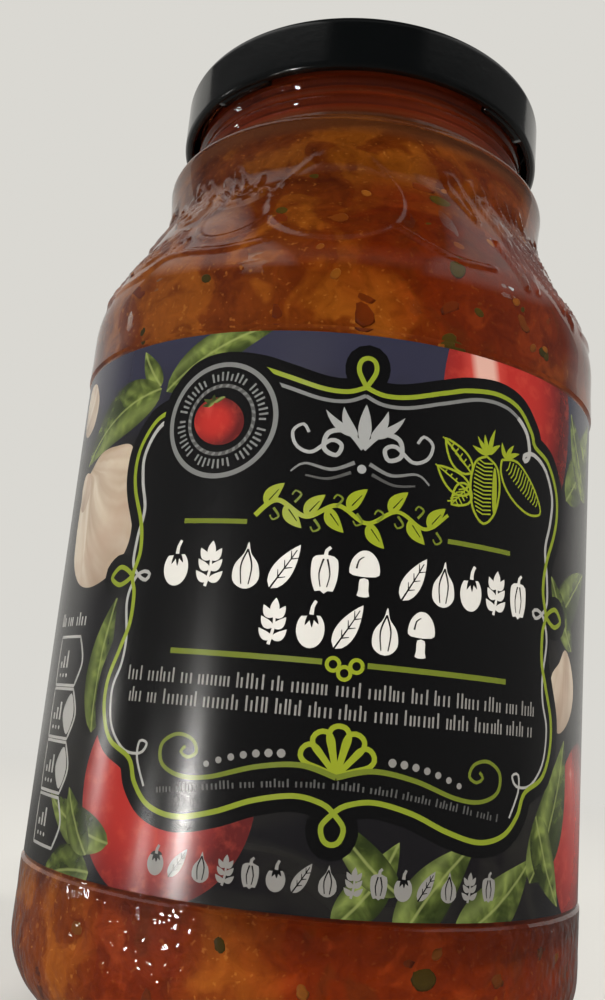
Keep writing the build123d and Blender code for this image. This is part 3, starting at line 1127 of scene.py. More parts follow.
def drawPictures():
    # Tomatoes, leaves and garlic as they overlap round the paper, over the ground's dark slate patches.
    pictureTomato(24, 69, 13.2, 19, (-0.5, 0.2), 18)
    pictureTomato(-23, 12, 13.4, 13.4, (-0.3, 0.45), 30, -9.4)
    pictureTomato(46.5, 10, 10.5, 13, (-0.3, 0.3), 22)
    for base, tip, width, bend in (
        ((-29.8, 66.6), (-11.5, 76.0), 5.6, 1.2), ((-31, 67.6), (-35.4, 73.6), 3.2, 0.3),
        ((-30.8, 67.2), (-49.5, 58.0), 8.2, -1.8), ((-36.4, 18.5), (-34.4, 37.2), 5.4, 1.2),
        ((-30, 5), (-45.5, 9.5), 5.6, 0.8), ((-33, 1), (-45.5, -2), 6.5, -0.8),
        ((-34, 3), (-40, 11), 4.4, 0.5), ((1, -1), (8.6, 9.2), 5.2, -0.8),
        ((9, 3), (-0.5, 12.2), 4.4, 0.6), ((9, -3), (19.5, 9.5), 6.5, 0.9),
        ((17, -2), (30, 7.5), 7, -0.8), ((30, 4.5), (38.8, 23.2), 8.2, -1.4), ((31, 13), (38, 1), 5.5, -0.8),
        ((34, 38), (47, 48.5), 7, 0.8), ((41, 36), (33, 46), 4.5, 0.5), ((37, 58), (49, 73.5), 8, -1),
        ((47, 60), (38, 72), 6, 0.8), ((52, 66), (61, 76), 6, 0.5), ((56, 24), (64, 36), 6.5, 0.8),
        ((62, 8), (54, 20), 6, -0.6),
    ):
        pictureLeaf(base, tip, width, bend)
    bulb = [(-35.3, 58.8), (-40, 59.7), (-44.5, 59.2), (-48, 56.8), (-50.6, 56.4), (-50.9, 53), (-51, 48),
            (-50, 43), (-46.5, 39.6), (-42, 38.7), (-37.3, 40.2), (-34.2, 43.4), (-33.4, 47), (-34.6, 52)]
    pictureGarlic(bulb, (-47.5, 55), (-38, 40))
    nub = [(-51, 56), (-49, 57), (-47, 55.4), (-47.2, 52.8), (-48.8, 50.8), (-50.6, 51.6)]
    pictureGarlic(nub, (-49, 59), (-48.4, 51))
    clove = [(-56, 72), (-52, 72.4), (-49, 69), (-49.6, 65), (-53, 63.6), (-56.2, 66)]
    pictureGarlic(clove, (-50, 72), (-54, 64))
    small = [(36.2, 24.2), (39, 24.9), (41.8, 27.6), (42.4, 31), (40.6, 34.4), (38.2, 36), (36.4, 34),
             (33.9, 31.6), (35.2, 27)]
    pictureGarlic(small, (38.3, 36.4), (37.5, 24.4))
    # The back's own group, on each side of its plain panel.
    for side, offset in ((-1, 0.0), (1, 7.0)):
        pictureTomato(side * (88 - offset), 11, 12.5, 13.5, (-0.35, 0.35), 22)
        pictureTomato(side * (80 + offset), 67, 13, 15, (-0.45, 0.1), 20)
        for base, tip, width, bend in (((64, 2), (75, 13), 7, 1), ((100, 2), (92, 25), 8, -1.2),
                                       ((66, 74), (64, 56), 7, 1), ((96, 70), (103, 54), 8, 1),
                                       ((70, 30), (78, 43), 8, -1)):
            pictureLeaf((side * base[0], base[1]), (side * tip[0], tip[1]), width, side * bend)
        head = [(side * (93 + 7.6 * math.cos(t / 6 * math.pi)), 42 + 9 * math.sin(t / 6 * math.pi)
                 - 1.2 * math.cos(t / 3 * math.pi)) for t in range(12)]
        pictureGarlic(head, (side * 93, 52), (side * 93, 33))


greenSide = [
    (0, 67), (2.5, 66.15), (6, 66.4), (11, 67.9), (15, 69.1), (20, 69.65), (24, 68.6), (26.9, 65.6),
    (27.7, 63.9), (31, 62.3), (33.5, 58.8), (34.1, 55.5), (33.5, 52.2), (31.5, 47.5), (30.9, 43.5),
    (31.8, 40), (31.1, 37.5),
    (31.2, 33.5), (32.5, 30), (34.2, 25.6), (34.1, 21.6), (32.2, 18), (28.2, 15.9), (26.8, 13), (24.2, 10.5),
    (20, 9.6), (15, 10.7), (10, 12.6), (5, 13.6), (1.5, 13), (0, 12),
]
sideLoop = [(31.8, 40), (33.3, 41), (34.8, 41.2), (36.2, 39.8), (34.6, 38.8), (33.2, 39.1), (31.8, 40)]
topLoop = [(0, 67), (1.15, 69.2), (0.95, 70.7), (0, 71.2), (-0.95, 70.7), (-1.15, 69.2), (0, 67)]
footLoop = [(0, 12), (1.35, 10.4), (1.0, 8.8), (0, 8.3), (-1.0, 8.8), (-1.35, 10.4), (0, 12)]
whiteSide = [
    (0, 65.8), (2.5, 64.8), (6, 64.9), (11, 66.4), (17, 68.2), (22, 68), (25.5, 65.7), (26.5, 62.5),
    (25.6, 61.2),
    (25.4, 62), (27.5, 62.6), (30.5, 61), (32.5, 57.3), (32.2, 53.5), (31.1, 49.5), (31.8, 45.5), (32, 41.8),
    (30.6, 40), (29.2, 39.4), (28.6, 40.2), (29.6, 40.6), (31.2, 39.7), (32.3, 36.5), (31.5, 31.5),
    (31.8, 28),
    (33, 24.5), (32.3, 20), (29.5, 17), (26.5, 16.7), (25.5, 18), (26.7, 18.2), (26.8, 16), (25.2, 12.7),
]
medallion = {"at": (-19.9, 61.7), "margin": 9.6, "ring": 8.0, "ticks": 6.3, "rope": 4.9}


def drawPanel():
    side = smoothLine(greenSide)
    lay("panelBlack", [side + mirrored(side)[-2:0:-1]])
    loops = (sideLoop, mirrored(sideLoop), topLoop, footLoop)
    for line in [side, mirrored(side)] + [smoothLine(loop) for loop in loops]:
        lay("panelBlack", band(line, 3.8))
    # On the left both lines stop where the round seal covers them.
    white = smoothLine(whiteSide, step=0.45)
    top = [p for p in white if p[1] > 63.5 and p[0] < 24]
    rest = white[len(top) - 1:]
    for upper, lower in ((top, rest), ([p for p in mirrored(top) if p[0] > -13.2],
                                       [p for p in mirrored(rest) if p[1] < 62.6])):
        lay("softSilver", band(upper, 0.52))
        lay("boxWhite", band(lower, 0.66, 0.3))
    lay("lineGreen", band(side, 0.66))
    left = mirrored(side)
    lay("lineGreen", band([p for p in left if p[1] > 60 and p[0] > -14.6], 0.66))
    lay("lineGreen", band([p for p in left if p[1] < 63.6], 0.66))
    for loop in loops:
        lay("lineGreen", band(smoothLine(loop, step=0.4), 0.66))


def drawTicks(ink, line, tall, pitch, width, seed):
    # Upright ticks in groups along a line, where small print would be.
    dice = random.Random(seed)
    travelled, group = 0.0, dice.randint(3, 8)
    lengths = [0.0]
    for a, b in zip(line, line[1:]):
        lengths.append(lengths[-1] + math.dist(a, b))
    while travelled < lengths[-1]:
        i = max(k for k, value in enumerate(lengths) if value <= travelled)
        i = min(i, len(line) - 2)
        t = (travelled - lengths[i]) / (lengths[i + 1] - lengths[i])
        a, b = line[i], line[i + 1]
        x, y = a[0] + (b[0] - a[0]) * t, a[1] + (b[1] - a[1]) * t
        size = math.dist(a, b)
        nx, ny = (a[1] - b[1]) / size, (b[0] - a[0]) / size
        high = tall * dice.choice((0.68, 0.68, 0.72, 1.0))
        lay(ink, band([(x, y), (x + nx * high, y + ny * high)], width))
        travelled += pitch * dice.uniform(0.85, 1.3)
        group -= 1
        if group <= 0:
            travelled += 1.1 * pitch
            group = dice.randint(3, 8)


def glyph(kind, x, y, wide, tall, ink, cut):
    # One small solid food sign over the point (x, y), with its inner lines cut out in dark.
    def at(a, b):
        return (x + a * wide, y + b * tall)

    def shape(points):
        lay(ink, [smoothLine([at(*p) for p in points], True, 0.5)])

    def stroke(points, width, end, colour=ink):
        lay(colour, band(smoothLine([at(*p) for p in points], step=0.5), width, end))

    def leafAt(foot, tip, width, colour=ink, bend=0.0):
        lay(colour, [leafShape(at(*foot), at(*tip), width, bend, 10)])

    if kind == "tomato":
        lay(ink, [ellipse(*at(0, 0.38), 0.47 * wide, 0.39 * tall, 0, 30)])
        for tip in ((-0.34, 0.66), (-0.2, 0.46), (0.04, 0.42), (0.26, 0.5), (0.36, 0.7)):
            leafAt((0, 0.76), tip, cut * 2.2, "panelBlack")
        stroke([(0, 0.7), (0.02, 0.86), (0.12, 1.0)], cut * 2.2, cut * 1.6)
    elif kind == "leaf":
        leafAt((-0.44, 0.02), (0.44, 1.0), 0.44 * tall)
        stroke([(-0.44, 0.02), (0.1, 0.6), (0.34, 0.88)], cut, cut * 0.5, "panelBlack")
        for i in range(3):
            a, b = -0.2 + 0.19 * i, 0.26 + 0.21 * i
            stroke([(a, b), (a - 0.02, b + 0.18)], cut * 0.7, cut * 0.4, "panelBlack")
            stroke([(a, b), (a + 0.24, b + 0.03)], cut * 0.7, cut * 0.4, "panelBlack")
    elif kind == "clove":
        shape([(0.02, 1.0), (-0.1, 0.76), (-0.4, 0.48), (-0.42, 0.16), (-0.14, 0), (0.18, 0.01), (0.44, 0.2),
               (0.38, 0.52), (0.12, 0.76)])
        for side in (-1, 1):
            stroke([(0.01, 0.84), (side * 0.18, 0.48), (side * 0.12, 0.08)], cut, cut * 0.6, "panelBlack")
    elif kind == "sprig":
        stroke([(-0.1, 0), (0.03, 0.4), (0.0, 0.8)], cut * 1.7, cut)
        leafAt((0.0, 0.64), (0.04, 1.0), 0.2 * tall)
        for foot, high in ((0.12, 0.34), (0.36, 0.6), (0.58, 0.84)):
            for side in (-1, 1):
                leafAt((0.0, foot), (side * (0.5 - 0.22 * foot), high), 0.19 * tall, ink, -0.04 * tall * side)
    elif kind == "pepper":
        shape([(-0.12, 0.82), (-0.4, 0.74), (-0.42, 0.36), (-0.26, 0.04), (-0.1, 0.06), (0.02, 0.0),
               (0.14, 0.06), (0.3, 0.06), (0.42, 0.38), (0.38, 0.74), (0.12, 0.82)])
        stroke([(0, 0.78), (0.02, 0.92), (0.14, 1.0)], cut * 2.2, cut * 1.6)
        for side in (-1, 1):
            crease = [(side * 0.06, 0.74), (side * 0.17, 0.42), (side * 0.1, 0.14)]
            stroke(crease, cut, cut * 0.5, "panelBlack")
    elif kind == "mushroom":
        shape([(-0.48, 0.5), (-0.42, 0.78), (-0.2, 0.96), (0.0, 1.0), (0.2, 0.96), (0.42, 0.78), (0.48, 0.5),
               (0.2, 0.44), (-0.2, 0.44)])
        shape([(-0.13, 0.38), (-0.16, 0.14), (-0.2, 0.03), (0.0, 0.0), (0.2, 0.03), (0.16, 0.14),
               (0.13, 0.38)])
        stroke([(-0.26, 0.6), (-0.2, 0.78), (-0.04, 0.86)], cut, cut * 0.5, "panelBlack")


def glyphRow(kinds, first, last, y, tall, ink, cut, fill=0.8):
    pitch = (last - first) / len(kinds)
    for i, kind in enumerate(kinds):
        glyph(kind, first + pitch * (i + 0.5), y, pitch * fill, tall, ink, cut)


def drawTitle():
    glyphRow(["tomato", "sprig", "clove", "leaf", "pepper", "mushroom"], -26.8, 4.2, 38.7, 6.1, "titleWhite",
             0.26)
    glyphRow(["leaf", "clove", "tomato", "sprig", "pepper"], 6.2, 27.4, 38.7, 6.0, "titleWhite", 0.26, 0.86)
    glyphRow(["sprig", "tomato", "leaf", "clove", "mushroom"], -12.0, 12.2, 31.7, 6.0, "titleWhite", 0.26)
    row = ["tomato", "leaf", "clove", "sprig", "pepper"] * 3
    glyphRow(row, -23.6, 23.6, 2.4, 3.6, "textGrey", 0.2, 0.8)


def drawFlourish():
    # A silver scroll over a green vine, each as wide as the front's two upper lines.
    for side in (1, -1):
        scroll = [(0, 58.4), (2.2, 60.6), (4.6, 60.2), (5.0, 58.0), (3.4, 57.2), (2.8, 58.6), (4.2, 59.2),
                  (6.6, 57.4), (8.6, 58.2), (9.2, 60.2), (7.9, 61.2), (7.1, 60.1)]
        line = [(side * x * 1.04 + 0.2, y) for x, y in smoothLine(scroll, step=0.4)]
        lay("lineSilver", band(line, 0.75, 0.4))
        for tip, wide in (((5.4, 63.4), 1.2), ((3.0, 64.0), 1.3)):
            tip = (side * tip[0] + 0.2, tip[1])
            lay("lineSilver", [leafShape((side * 0.9 + 0.2, 60.0), tip, wide, -0.5 * side, 12)])
        tail = smoothLine([(1.0, 56.4), (4.0, 55.2), (7.6, 55.8), (9.4, 54.6)], step=0.5)
        lay("softSilver", band([(side * x + 0.2, y) for x, y in tail], 0.55, 0.25))
        row = smoothLine([(1.4, 55.0), (4.4, 53.9), (7.4, 54.2)], step=0.5)
        lay("dimGrey", band([(side * x + 0.2, y) for x, y in row], 0.45, 0.25))
    lay("lineSilver", [leafShape((0.2, 58.9), (0.2, 64.6), 1.8, 0, 14)])
    lay("lineSilver", [ellipse(0.2, 55.6, 0.62)])
    vine = smoothLine([(-13.4, 48.4), (-10.6, 50.6), (-6.6, 48.6), (-2.6, 50.4), (1.4, 48.4), (5.4, 50.4),
                       (9.4, 48.6), (12.6, 51.0)], step=0.5)
    lay("leafGreen", band(vine, 0.7, 0.45))
    for i in range(9):
        x = -12.2 + 2.75 * i
        y = min(vine, key=lambda p: abs(p[0] - x))[1]
        up = 1 if i % 2 == 0 else -1
        lay("leafGreen", [leafShape((x, y), (x + 2.4, y + up * 3.1), 1.9, 0.3 * up, 12)])
        lay("panelBlack", band([(x + 0.5, y + up * 0.7), (x + 1.7, y + up * 2.2)], 0.16, 0.1))
        curl = [(x + 1.2, y - up * 0.3), (x + 2.0, y - up * 1.4), (x + 1.2, y - up * 1.9),
                (x + 0.8, y - up * 1.3)]
        lay("ruleGreen", band(smoothLine(curl, step=0.35), 0.36, 0.22))
    lay("ruleGreen", band([(-23.7, 47.5), (-14.4, 47.5)], 0.66))
    lay("ruleGreen", band([(12.8, 47.5), (23.3, 47.5)], 0.66))


def drawMedallion():
    x, y = medallion["at"]
    rope, ticks = medallion["rope"], medallion["ticks"]
    lay("panelBlack", [ellipse(x, y, medallion["margin"], count=60)])
    lay("softSilver", band(circleLine(x, y, medallion["ring"]), 0.7))
    lay("dimGrey", band(circleLine(x, y, rope), 0.55))
    for i in range(54):
        a = 2 * math.pi * i / 54
        if i % 9 == 8:
            continue
        ends = (ticks - 0.65, ticks + (0.65 if i % 3 else 0.35))
        line = [(x + r * math.cos(a), y + r * math.sin(a)) for r in ends]
        lay("softSilver", band(line, 0.3))
    for i in range(30):
        a = 2 * math.pi * i / 30
        lay("softSilver", [ellipse(x + rope * math.cos(a), y + rope * math.sin(a), 0.2, 0.34,
                                   math.degrees(a) + 40, 8)])
    lay("tomatoes", [ellipse(x - 0.3, y - 0.2, 3.95, 3.35, -22, 40)],
        ("tomato", x - 0.3, y - 0.2, 3.95, 3.5, (-0.35, 0.15), 10))
    for turn in (40, 95, 150, 200):
        a = math.radians(turn)
        top = (x - 1.2, y + 2.5)
        tip = (top[0] + 2.1 * math.cos(a), top[1] + 1.2 * math.sin(a))
        lay("leaves", [leafShape(top, tip, 0.7, 0.1, 8)], ("leaf", top, (top[0] + 2, top[1] + 1), 1.0, 0.1))


def drawPlums():
    # Two plum tomatoes and their leaves in green line work, at the upper right of the front.
    line = "leafGreen"
    lay(line, band(smoothLine([(18.3, 60.3), (16.5, 59.2), (15.8, 56), (16.4, 52.6), (18.2, 50.8), (20, 52.4),
                               (20.8, 55.8), (20.2, 59), (18.3, 60.3)]), 0.34))
    for i in range(14):
        y = 52.2 + 0.55 * i
        bow = 0.9 * math.sqrt(max(0.05, 1 - ((y - 55.8) / 4.9) ** 2))
        lay(line, band([(18.3 - 2.2 * bow, y + 0.3), (18.0, y - 0.12), (19.4, y + 0.1)], 0.2))
    lay(line, [ellipse(19.9, 55.6, 0.42, 3.4, 2, 22)])
    lay(line, band(smoothLine([(21, 60.4), (24, 60.7), (27, 58.5), (29, 56), (29.4, 54.3), (27, 53.7),
                               (24.2, 54.6), (22, 56.4), (20.9, 58.6), (21, 60.4)]), 0.34))
    for i in range(13):
        t = i / 12
        x, y = 22.2 + 6.2 * t, 59.4 - 4.0 * t
        wide = 2.3 * math.sqrt(max(0.08, 1 - (2 * t - 0.92) ** 2 / 1.4))
        bow = [(x + 0.3 * wide, y + 0.75 * wide), (x + 0.1, y), (x - 0.2 * wide, y - 0.3 * wide)]
        lay(line, band(bow, 0.2))
    left, right = (18.7, 60.6), (21.8, 60.6)
    for start, tips in ((left, ((16.6, 62.9), (15.8, 61.4), (19.6, 64.5), (20.6, 62.4), (17.8, 63.4))),
                        (right, ((23.2, 63), (20.9, 62.9), (24.4, 62)))):
        for tip in tips:
            lay(line, [leafShape(start, tip, 0.75, 0.15, 8)])
    for base, tip in (((15.9, 57.4), (11.6, 61.6)), ((15.8, 54.6), (10.6, 57.6)),
                      ((15.6, 55.6), (13.0, 52.6))):
        outline = leafShape(base, tip, 2.9, 0.2, 12)
        lay(line, band(outline + outline[:1], 0.32))
        lay(line, band([base, tip], 0.28, 0.15))
        for k in range(1, 6):
            t = k / 6.5
            x, y = base[0] + (tip[0] - base[0]) * t, base[1] + (tip[1] - base[1]) * t
            for side in (1, -1):
                lay(line, band([(x, y), (x - side * 0.9 + (tip[0] - base[0]) * 0.12,
                                         y + side * 0.25 + (tip[1] - base[1]) * 0.2)], 0.2))


def drawLower():
    lay("ruleGreen", band([(-23.5, 30.1), (-2.9, 30.1)], 0.72))
    lay("ruleGreen", band([(2.9, 30.1), (23.5, 30.1)], 0.72))
    for x, y in ((-1.5, 29.9), (1.5, 29.9), (0, 28.9)):
        lay("leafGreen", band(circleLine(x, y, 0.8), 0.5))
    drawTicks("textGrey", [(-30, 26), (30, 26)], 1.9, 0.6, 0.27, 21)
    drawTicks("textGrey", [(-29.4, 23.2), (29.6, 23.2)], 1.9, 0.6, 0.27, 22)
    for lean in (0, -27, 27, -56, 56):
        a = math.radians(lean)
        size = 6.0 - 0.012 * abs(lean)
        loop = [(0.0, 0.0), (-0.13, 0.45), (-0.215, 0.75), (-0.16, 0.94), (0, 1.0), (0.16, 0.94),
                (0.215, 0.75), (0.13, 0.45), (0.0, 0.0)]
        across, up = size * math.cos(a), size * math.sin(a)
        line = [(x * across + y * up, 16.4 + y * across - x * up) for x, y in loop]
        lay("leafGreen", band(smoothLine(line, step=0.4), 0.66))
    scroll = [(0, 16.2), (-4.5, 17.3), (-10, 16.6), (-16, 14.8), (-20, 14.55), (-22.8, 15.8), (-23.1, 18.2),
              (-21.0, 19.6), (-18.7, 19.1), (-18.0, 17.6), (-19.2, 16.9), (-20.2, 17.5), (-19.6, 18.2)]
    for line in (smoothLine(scroll, step=0.5), mirrored(smoothLine(scroll, step=0.5))):
        lay("ruleGreen", band(line, 0.72, 0.4))
    for i in range(7):
        for side in (1, -1):
            x, y = side * (7 + 1.58 * i), 18.5 - 0.06 * i - 0.05 * i * i
            lay("textGrey", [ellipse(x, y, 0.55 - 0.025 * i)])
    curve = [(x, 11.4 + 3.4 * math.cos(x / 23.5 * 1.1) ** 2) for x in range(-23, 24)]
    drawTicks("dimGrey", curve, 1.0, 0.5, 0.24, 23)


def drawBoxes():
    # Small outlined boxes with bars, at the left of the front.
    drawTicks("boxWhite", [(-51.3, 33.2), (-40.6, 33.2)], 1.9, 0.8, 0.4, 31)
    for i, (low, high) in enumerate(((24.6, 31.6), (17.2, 24.1), (9.8, 16.7), (2.5, 9.2))):
        outline = smoothLine([(-50.4, low), (-50.5, (low + high) / 2), (-50.4, high)], step=1)
        outline += smoothLine([(-42.8, high), (-41.2, (low + high) / 2), (-42.8, low)], step=0.8)
        lay("boxWhite", band(outline + outline[:2], 0.42))
        if 0 < i < 3:
            lens = smoothLine([(-43.2, low + 0.6), (-45.3, (low + high) / 2), (-43.2, high - 0.6),
                               (-41.7, (low + high) / 2)], True, 0.6)
            lay("boxWhite", [lens])
        for k, rise in enumerate((0.9, 1.7, 2.5)):
            x, y = -48.9 + 1.25 * k, low + 2.5
            lay("boxWhite", band([(x, y), (x, y + rise)], 0.62))
        lay("boxWhite", [ellipse(-48.8 + 1.3 * k, low + 1.4, 0.3) for k in range(3)])


def drawBack():
    # A plain outlined panel with bars, at the back, clear of the lap.
    for middle in (117.0, -113.0):
        corners = ((-12, 8), (-12, 66), (-10, 68), (10, 68), (12, 66), (12, 8), (10, 6), (-10, 6))
        outline = smoothLine([(middle + x, y) for x, y in corners], True, 4)
        lay("panelBlack", [outline])
        lay("boxWhite", band(outline + outline[:1], 0.4))
        for row in range(14):
            y = 63 - 3.9 * row
            if row % 5 == 0:
                lay("lineGreen", band([(middle - 9.5, y), (middle + 9.5, y)], 0.4))
            else:
                end = middle + 9.2 - 3 * (row % 3)
                drawTicks("textGrey", [(middle - 9.5, y - 0.5), (end, y - 0.5)], 1.3, 0.62, 0.26, 40 + row)


def cutPaper():
    # Turns the drawing into one flat partition of the paper: each triangle takes the topmost ink over it.
    columns = round((paperEnd - paperStart) / label["strip"])
    rows = 4
    outlines = []
    for i in range(columns):
        for j in range(rows):
            x0, x1 = (paperStart + (paperEnd - paperStart) * k / columns for k in (i, i + 1))
            y0, y1 = (paperHeight * k / rows for k in (j, j + 1))
            outlines.append([(x0, y0), (x1, y0), (x1, y1), (x0, y1)])
    grounds = len(outlines)
    outlines += [outline for _, outline, _ in drawn]
    points, faces = [], []
    for outline in outlines:
        turned = sum(a[0] * b[1] - a[1] * b[0] for a, b in zip(outline, outline[1:] + outline[:1]))
        faces.append(list(range(len(points), len(points) + len(outline))))
        points.extend(Vector(p) for p in (outline if turned > 0 else outline[::-1]))
    cut = delaunay_2d_cdt(points, [], faces, 0, 1e-5, True)
    spots = np.array([tuple(p) for p in cut[0]])
    groups = {}
    for triangle, covers in zip(cut[2], cut[5]):
        if not covers:
            continue
        top = max(covers) - grounds
        kind, _, frameOf = ("ground", None, None) if top < 0 else drawn[top]
        groups.setdefault(kind, []).append((triangle, frameOf))
    return spots, groups


def ownPlace(frameOf, x, y):
    # Where a point lies in its own picture: for shading that follows each tomato, leaf and clove.
    if frameOf is None:
        return (x, y, 0.0)
    if frameOf[0] == "tomato":
        _, cx, cy, wide, tall, shine, turn = frameOf
        a = math.radians(turn)
        sx, sy = (x - cx) / wide - shine[0], (y - cy) / tall - shine[1]
        return ((x - cx) / wide, (y - cy) / tall, math.hypot((sx * math.cos(a) + sy * math.sin(a)) / 0.16,
                                                            (sy * math.cos(a) - sx * math.sin(a)) / 0.42))
    if frameOf[0] == "leaf":
        _, base, tip, width, bend = frameOf
        dx, dy = tip[0] - base[0], tip[1] - base[1]
        size = math.hypot(dx, dy)
        t = ((x - base[0]) * dx + (y - base[1]) * dy) / size ** 2
        off = ((y - base[1]) * dx - (x - base[0]) * dy) / size - 4 * bend * t * (1 - t)
        return (t * size, off, width)
    _, stem, foot = frameOf
    dx, dy = foot[0] - stem[0], foot[1] - stem[1]
    size = math.hypot(dx, dy)
    t = ((x - stem[0]) * dx + (y - stem[1]) * dy) / size ** 2
    off = ((y - stem[1]) * dx - (x - stem[0]) * dy) / size
    return (t, math.atan2(off, max(0.5, t * size + 4)), 0.0)


def printMaterial(name, colour=None):
    mat, tree, base = newMaterial(name, Roughness=label["roughness"], Anisotropic=label["smear"],
                                  Anisotropic_Rotation=0.25)
    place = inMillimetres(tree)
    alongJar = addNode(tree, "ShaderNodeTangent", direction_type="RADIAL", axis="Z")
    tree.links.new(alongJar.outputs[0], base.inputs["Tangent"])
    if colour:
        base.inputs["Base Color"].default_value = opaque(colour)
    grain = noise(tree, place, 1.3, 3, 0.6)
    rough = stretchRange(tree, grain, 0.3, 0.7, label["roughness"] - 0.02, label["roughness"] + 0.03)
    tree.links.new(rough, base.inputs["Roughness"])
    addBump(tree, base, grain, 0.012, 0.6)
    return mat, tree, base, place


def artPlace(tree):
    return threeParts(tree, addNode(tree, "ShaderNodeAttribute", attribute_name="art").outputs["Vector"])


def groundPrint():
    mat, tree, base, place = printMaterial("printGround")
    patches = noise(tree, place, 0.045, 3, 0.6, 0.5)
    dark = ramp(tree, patches, [(0.4, tone(22, 20, 23)), (0.5, tone(36, 35, 33)), (0.62, tone(24, 23, 26))])
    high = mathNode(tree, "ADD", artPlace(tree)[1], mathNode(tree, "MULTIPLY", patches, 12))
    high = stretchRange(tree, high, 66, 76)
    paint(tree, base, blendColour(tree, high, dark, tone(45, 45, 62)))
    return mat


def tomatoPrint():
    mat, tree, base, place = printMaterial("printTomato")
    # Across and up from the tomato's middle, 1 at its edge, and how far out of the highlight.
    across, up, away = artPlace(tree)
    out = mathNode(tree, "SQRT", mathNode(tree, "ADD", mathNode(tree, "MULTIPLY", across, across),
                                          mathNode(tree, "MULTIPLY", up, up)))
    lit = mathNode(tree, "ADD", out, mathNode(tree, "MULTIPLY", across, 0.28))
    red = ramp(tree, lit, [(0.0, tone(172, 42, 36)), (0.45, tone(162, 40, 34)), (0.8, tone(122, 33, 31)),
                           (1.0, tone(88, 26, 26))])
    mottle = noise(tree, place, 0.5, 3, 0.6)
    red = blendColour(tree, stretchRange(tree, mottle, 0.5, 0.75, 0, 0.3), red, tone(200, 78, 58))
    glow = stretchRange(tree, away, 1.9, 0.8, 0.0, 0.55)
    shine = stretchRange(tree, away, 1.15, 0.65, 0.0, 0.85)
    red = blendColour(tree, glow, red, tone(205, 84, 72))
    paint(tree, base, blendColour(tree, shine, red, tone(212, 174, 160)))
    return mat


def leafPrint():
    mat, tree, base, place = printMaterial("printLeaf")
    # Along the midrib, out from it to the left, and the leaf's width.
    along, left, width = artPlace(tree)
    across = mathNode(tree, "ABSOLUTE", left)
    outward = mathNode(tree, "DIVIDE", across, mathNode(tree, "MULTIPLY", width, 0.5))
    mottle = noise(tree, place, 0.26, 3, 0.55, 0.5)
    green = ramp(tree, mottle, [(0.36, tone(40, 50, 20)), (0.5, tone(78, 92, 38)),
                                (0.64, tone(122, 136, 66))])
    ribs = mathNode(tree, "SUBTRACT", along, mathNode(tree, "MULTIPLY", across, 0.9))
    wave = mathNode(tree, "SINE", mathNode(tree, "MULTIPLY", ribs, 2.6))
    puff = stretchRange(tree, wave, -1.0, 1.0, 0.0, 0.5)
    green = blendColour(tree, puff, green, tone(44, 54, 22))
    lit = stretchRange(tree, left, 0.2, 1.6, 0.0, 0.4)
    green = blendColour(tree, lit, green, tone(134, 148, 82))
    half = stretchRange(tree, left, -0.1, -1.4, 0.0, 0.45)
    green = blendColour(tree, half, green, tone(40, 50, 22))
    rim = stretchRange(tree, outward, 0.55, 0.95, 0.0, 0.75)
    green = blendColour(tree, rim, green, tone(34, 42, 20))
    middle = stretchRange(tree, across, 0.26, 0.08, 0.0, 0.65)
    paint(tree, base, blendColour(tree, middle, green, tone(140, 150, 88)))
    return mat


def garlicPrint():
    mat, tree, base, place = printMaterial("printGarlic")
    # Down from the stem, 0, to the foot, 1, and the angle out from that line.
    down, aside, _ = artPlace(tree)
    stretched = addNode(tree, "ShaderNodeCombineXYZ", {0: mathNode(tree, "MULTIPLY", aside, 4.0),
                                                       1: mathNode(tree, "MULTIPLY", down, 0.8)})
    streak = noise(tree, stretched.outputs[0], 1.0, 2, 0.5, 0.3)
    skin = ramp(tree, streak, [(0.34, tone(168, 148, 128)), (0.5, tone(187, 170, 150)),
                               (0.64, tone(200, 186, 167))])
    blush = noise(tree, place, 0.13, 2, 0.5)
    skin = blendColour(tree, stretchRange(tree, blush, 0.52, 0.7, 0, 0.35), skin, tone(176, 146, 128))
    foot = stretchRange(tree, down, 0.55, 1.1, 0.0, 0.7)
    skin = blendColour(tree, foot, skin, tone(140, 116, 100))
    neck = stretchRange(tree, down, 0.1, -0.05, 0.0, 0.5)
    paint(tree, base, blendColour(tree, neck, skin, tone(158, 134, 108)))
    return mat


def wrapPiece(name, parts, materials, slots=None):
    # Bends the triangles of some inks round the jar, and gives each its place in its own picture.
    used = sorted({v for triangle, _ in parts for v in triangle})
    order = {v: i for i, v in enumerate(used)}
    flat = spots[used]
    lapped = np.clip((flat[:, 0] - (paperWidth / 2 - 0.6)) / 0.6, 0, 1)
    radius = printRadius + label["thickness"] * lapped
    angle = flat[:, 0] / printRadius - math.pi / 2
    points = np.stack([radius * np.cos(angle), radius * np.sin(angle), labelBottom + flat[:, 1]], 1)
    faces = [tuple(order[v] for v in triangle) for triangle, _ in parts]
    piece = makePiece(name, points, faces, materials, slots)
    mesh = piece.data
    art = mesh.attributes.new("art", "FLOAT_VECTOR", "CORNER")
    values = np.zeros((len(mesh.loops), 3), np.float32)
    for polygon in mesh.polygons:
        for corner in polygon.loop_indices:
            x, y = flat[mesh.loops[corner].vertex_index]
            values[corner] = ownPlace(parts[polygon.index][1], x, y)
    art.data.foreach_set("vector", values.ravel())
    mesh.normals_split_custom_set_from_vertices([(math.cos(a), math.sin(a), 0.0) for a in angle])
    return piece


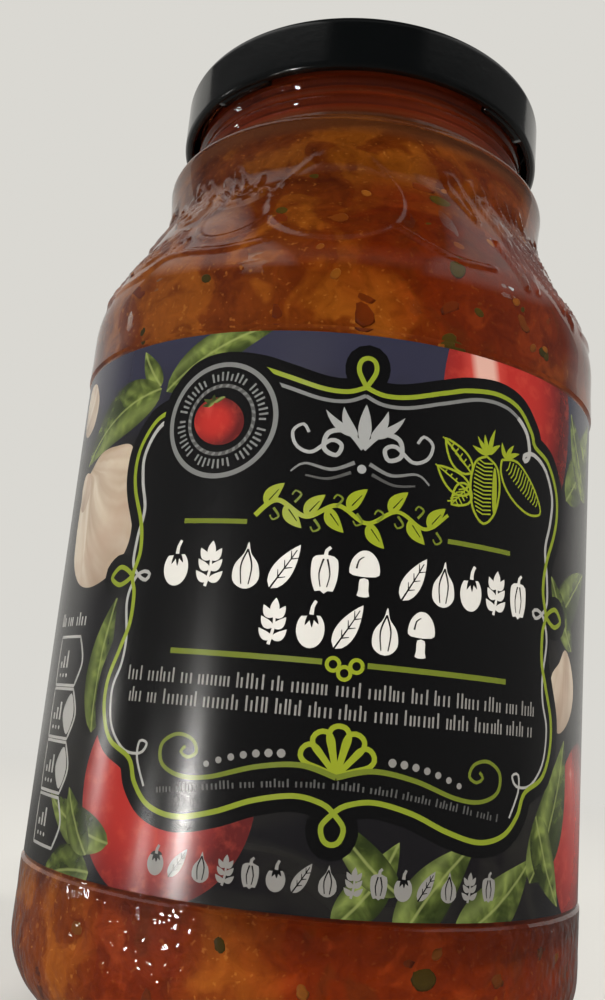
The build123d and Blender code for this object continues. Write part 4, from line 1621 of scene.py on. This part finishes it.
def buildBacking():
    # The paper itself, a thin ribbon wound once round the jar with its end lapped over its start.
    count = 288
    inner = printRadius - label["thickness"]
    outer = printRadius - 0.015  # just under the print
    points, faces = [], []
    for i in range(count + 1):
        x = paperStart + (paperEnd - paperStart) * i / count
        lift = label["thickness"] * max(0.0, min(1.0, (x - paperWidth / 2 + 0.6) / 0.6))
        a = x / printRadius - math.pi / 2
        for r, z in ((inner, 0), (outer, 0), (outer, paperHeight), (inner, paperHeight)):
            points.append(((r + lift) * math.cos(a), (r + lift) * math.sin(a), labelBottom + z))
    for i in range(count):
        a, b = 4 * i, 4 * i + 4
        faces += [(a + k, a + (k + 1) % 4, b + (k + 1) % 4, b + k) for k in range(4)]
    faces += [(3, 2, 1, 0), tuple(4 * count + k for k in range(4))]
    mat, tree, base, place = printMaterial("paperEdge")
    fibre = noise(tree, place, 3.0, 3, 0.7)
    paint(tree, base, ramp(tree, fibre, [(0.35, tone(92, 90, 86)), (0.65, tone(122, 119, 113))]))
    return facesOut(makePiece("labelPaper", points, faces, [mat]))


drawPictures()
drawPanel()
drawFlourish()
drawTitle()
drawPlums()
drawLower()
drawMedallion()
drawBoxes()
drawBack()
spots, groups = cutPaper()
labelPieces = [buildBacking()]
for kind, material in (("ground", groundPrint), ("tomatoes", tomatoPrint), ("leaves", leafPrint),
                       ("garlic", garlicPrint)):
    labelPieces.append(wrapPiece("label" + kind.capitalize(), groups[kind], [material()]))
inkMaterials = [printMaterial(name, colour)[0] for name, colour in inks.items()]
inkParts = [part for name in inks for part in groups.get(name, [])]
inkSlots = [i for i, name in enumerate(inks) for _ in groups.get(name, [])]
labelPieces.append(wrapPiece("labelInks", inkParts, inkMaterials, inkSlots))
print("label", len(drawn), "shapes,", sum(len(p.data.polygons) for p in labelPieces), "faces")

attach(glass, "root")
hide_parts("glass")
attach(sauce, "root")
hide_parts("sauce")
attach(lidShell, "root")
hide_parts("lid")
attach(lidLugs, "root")
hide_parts("lid")
for piece in bitPieces:
    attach(piece, "root")
    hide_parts("sauce")

for piece in labelPieces:
    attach(piece, "root")
    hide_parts("label")
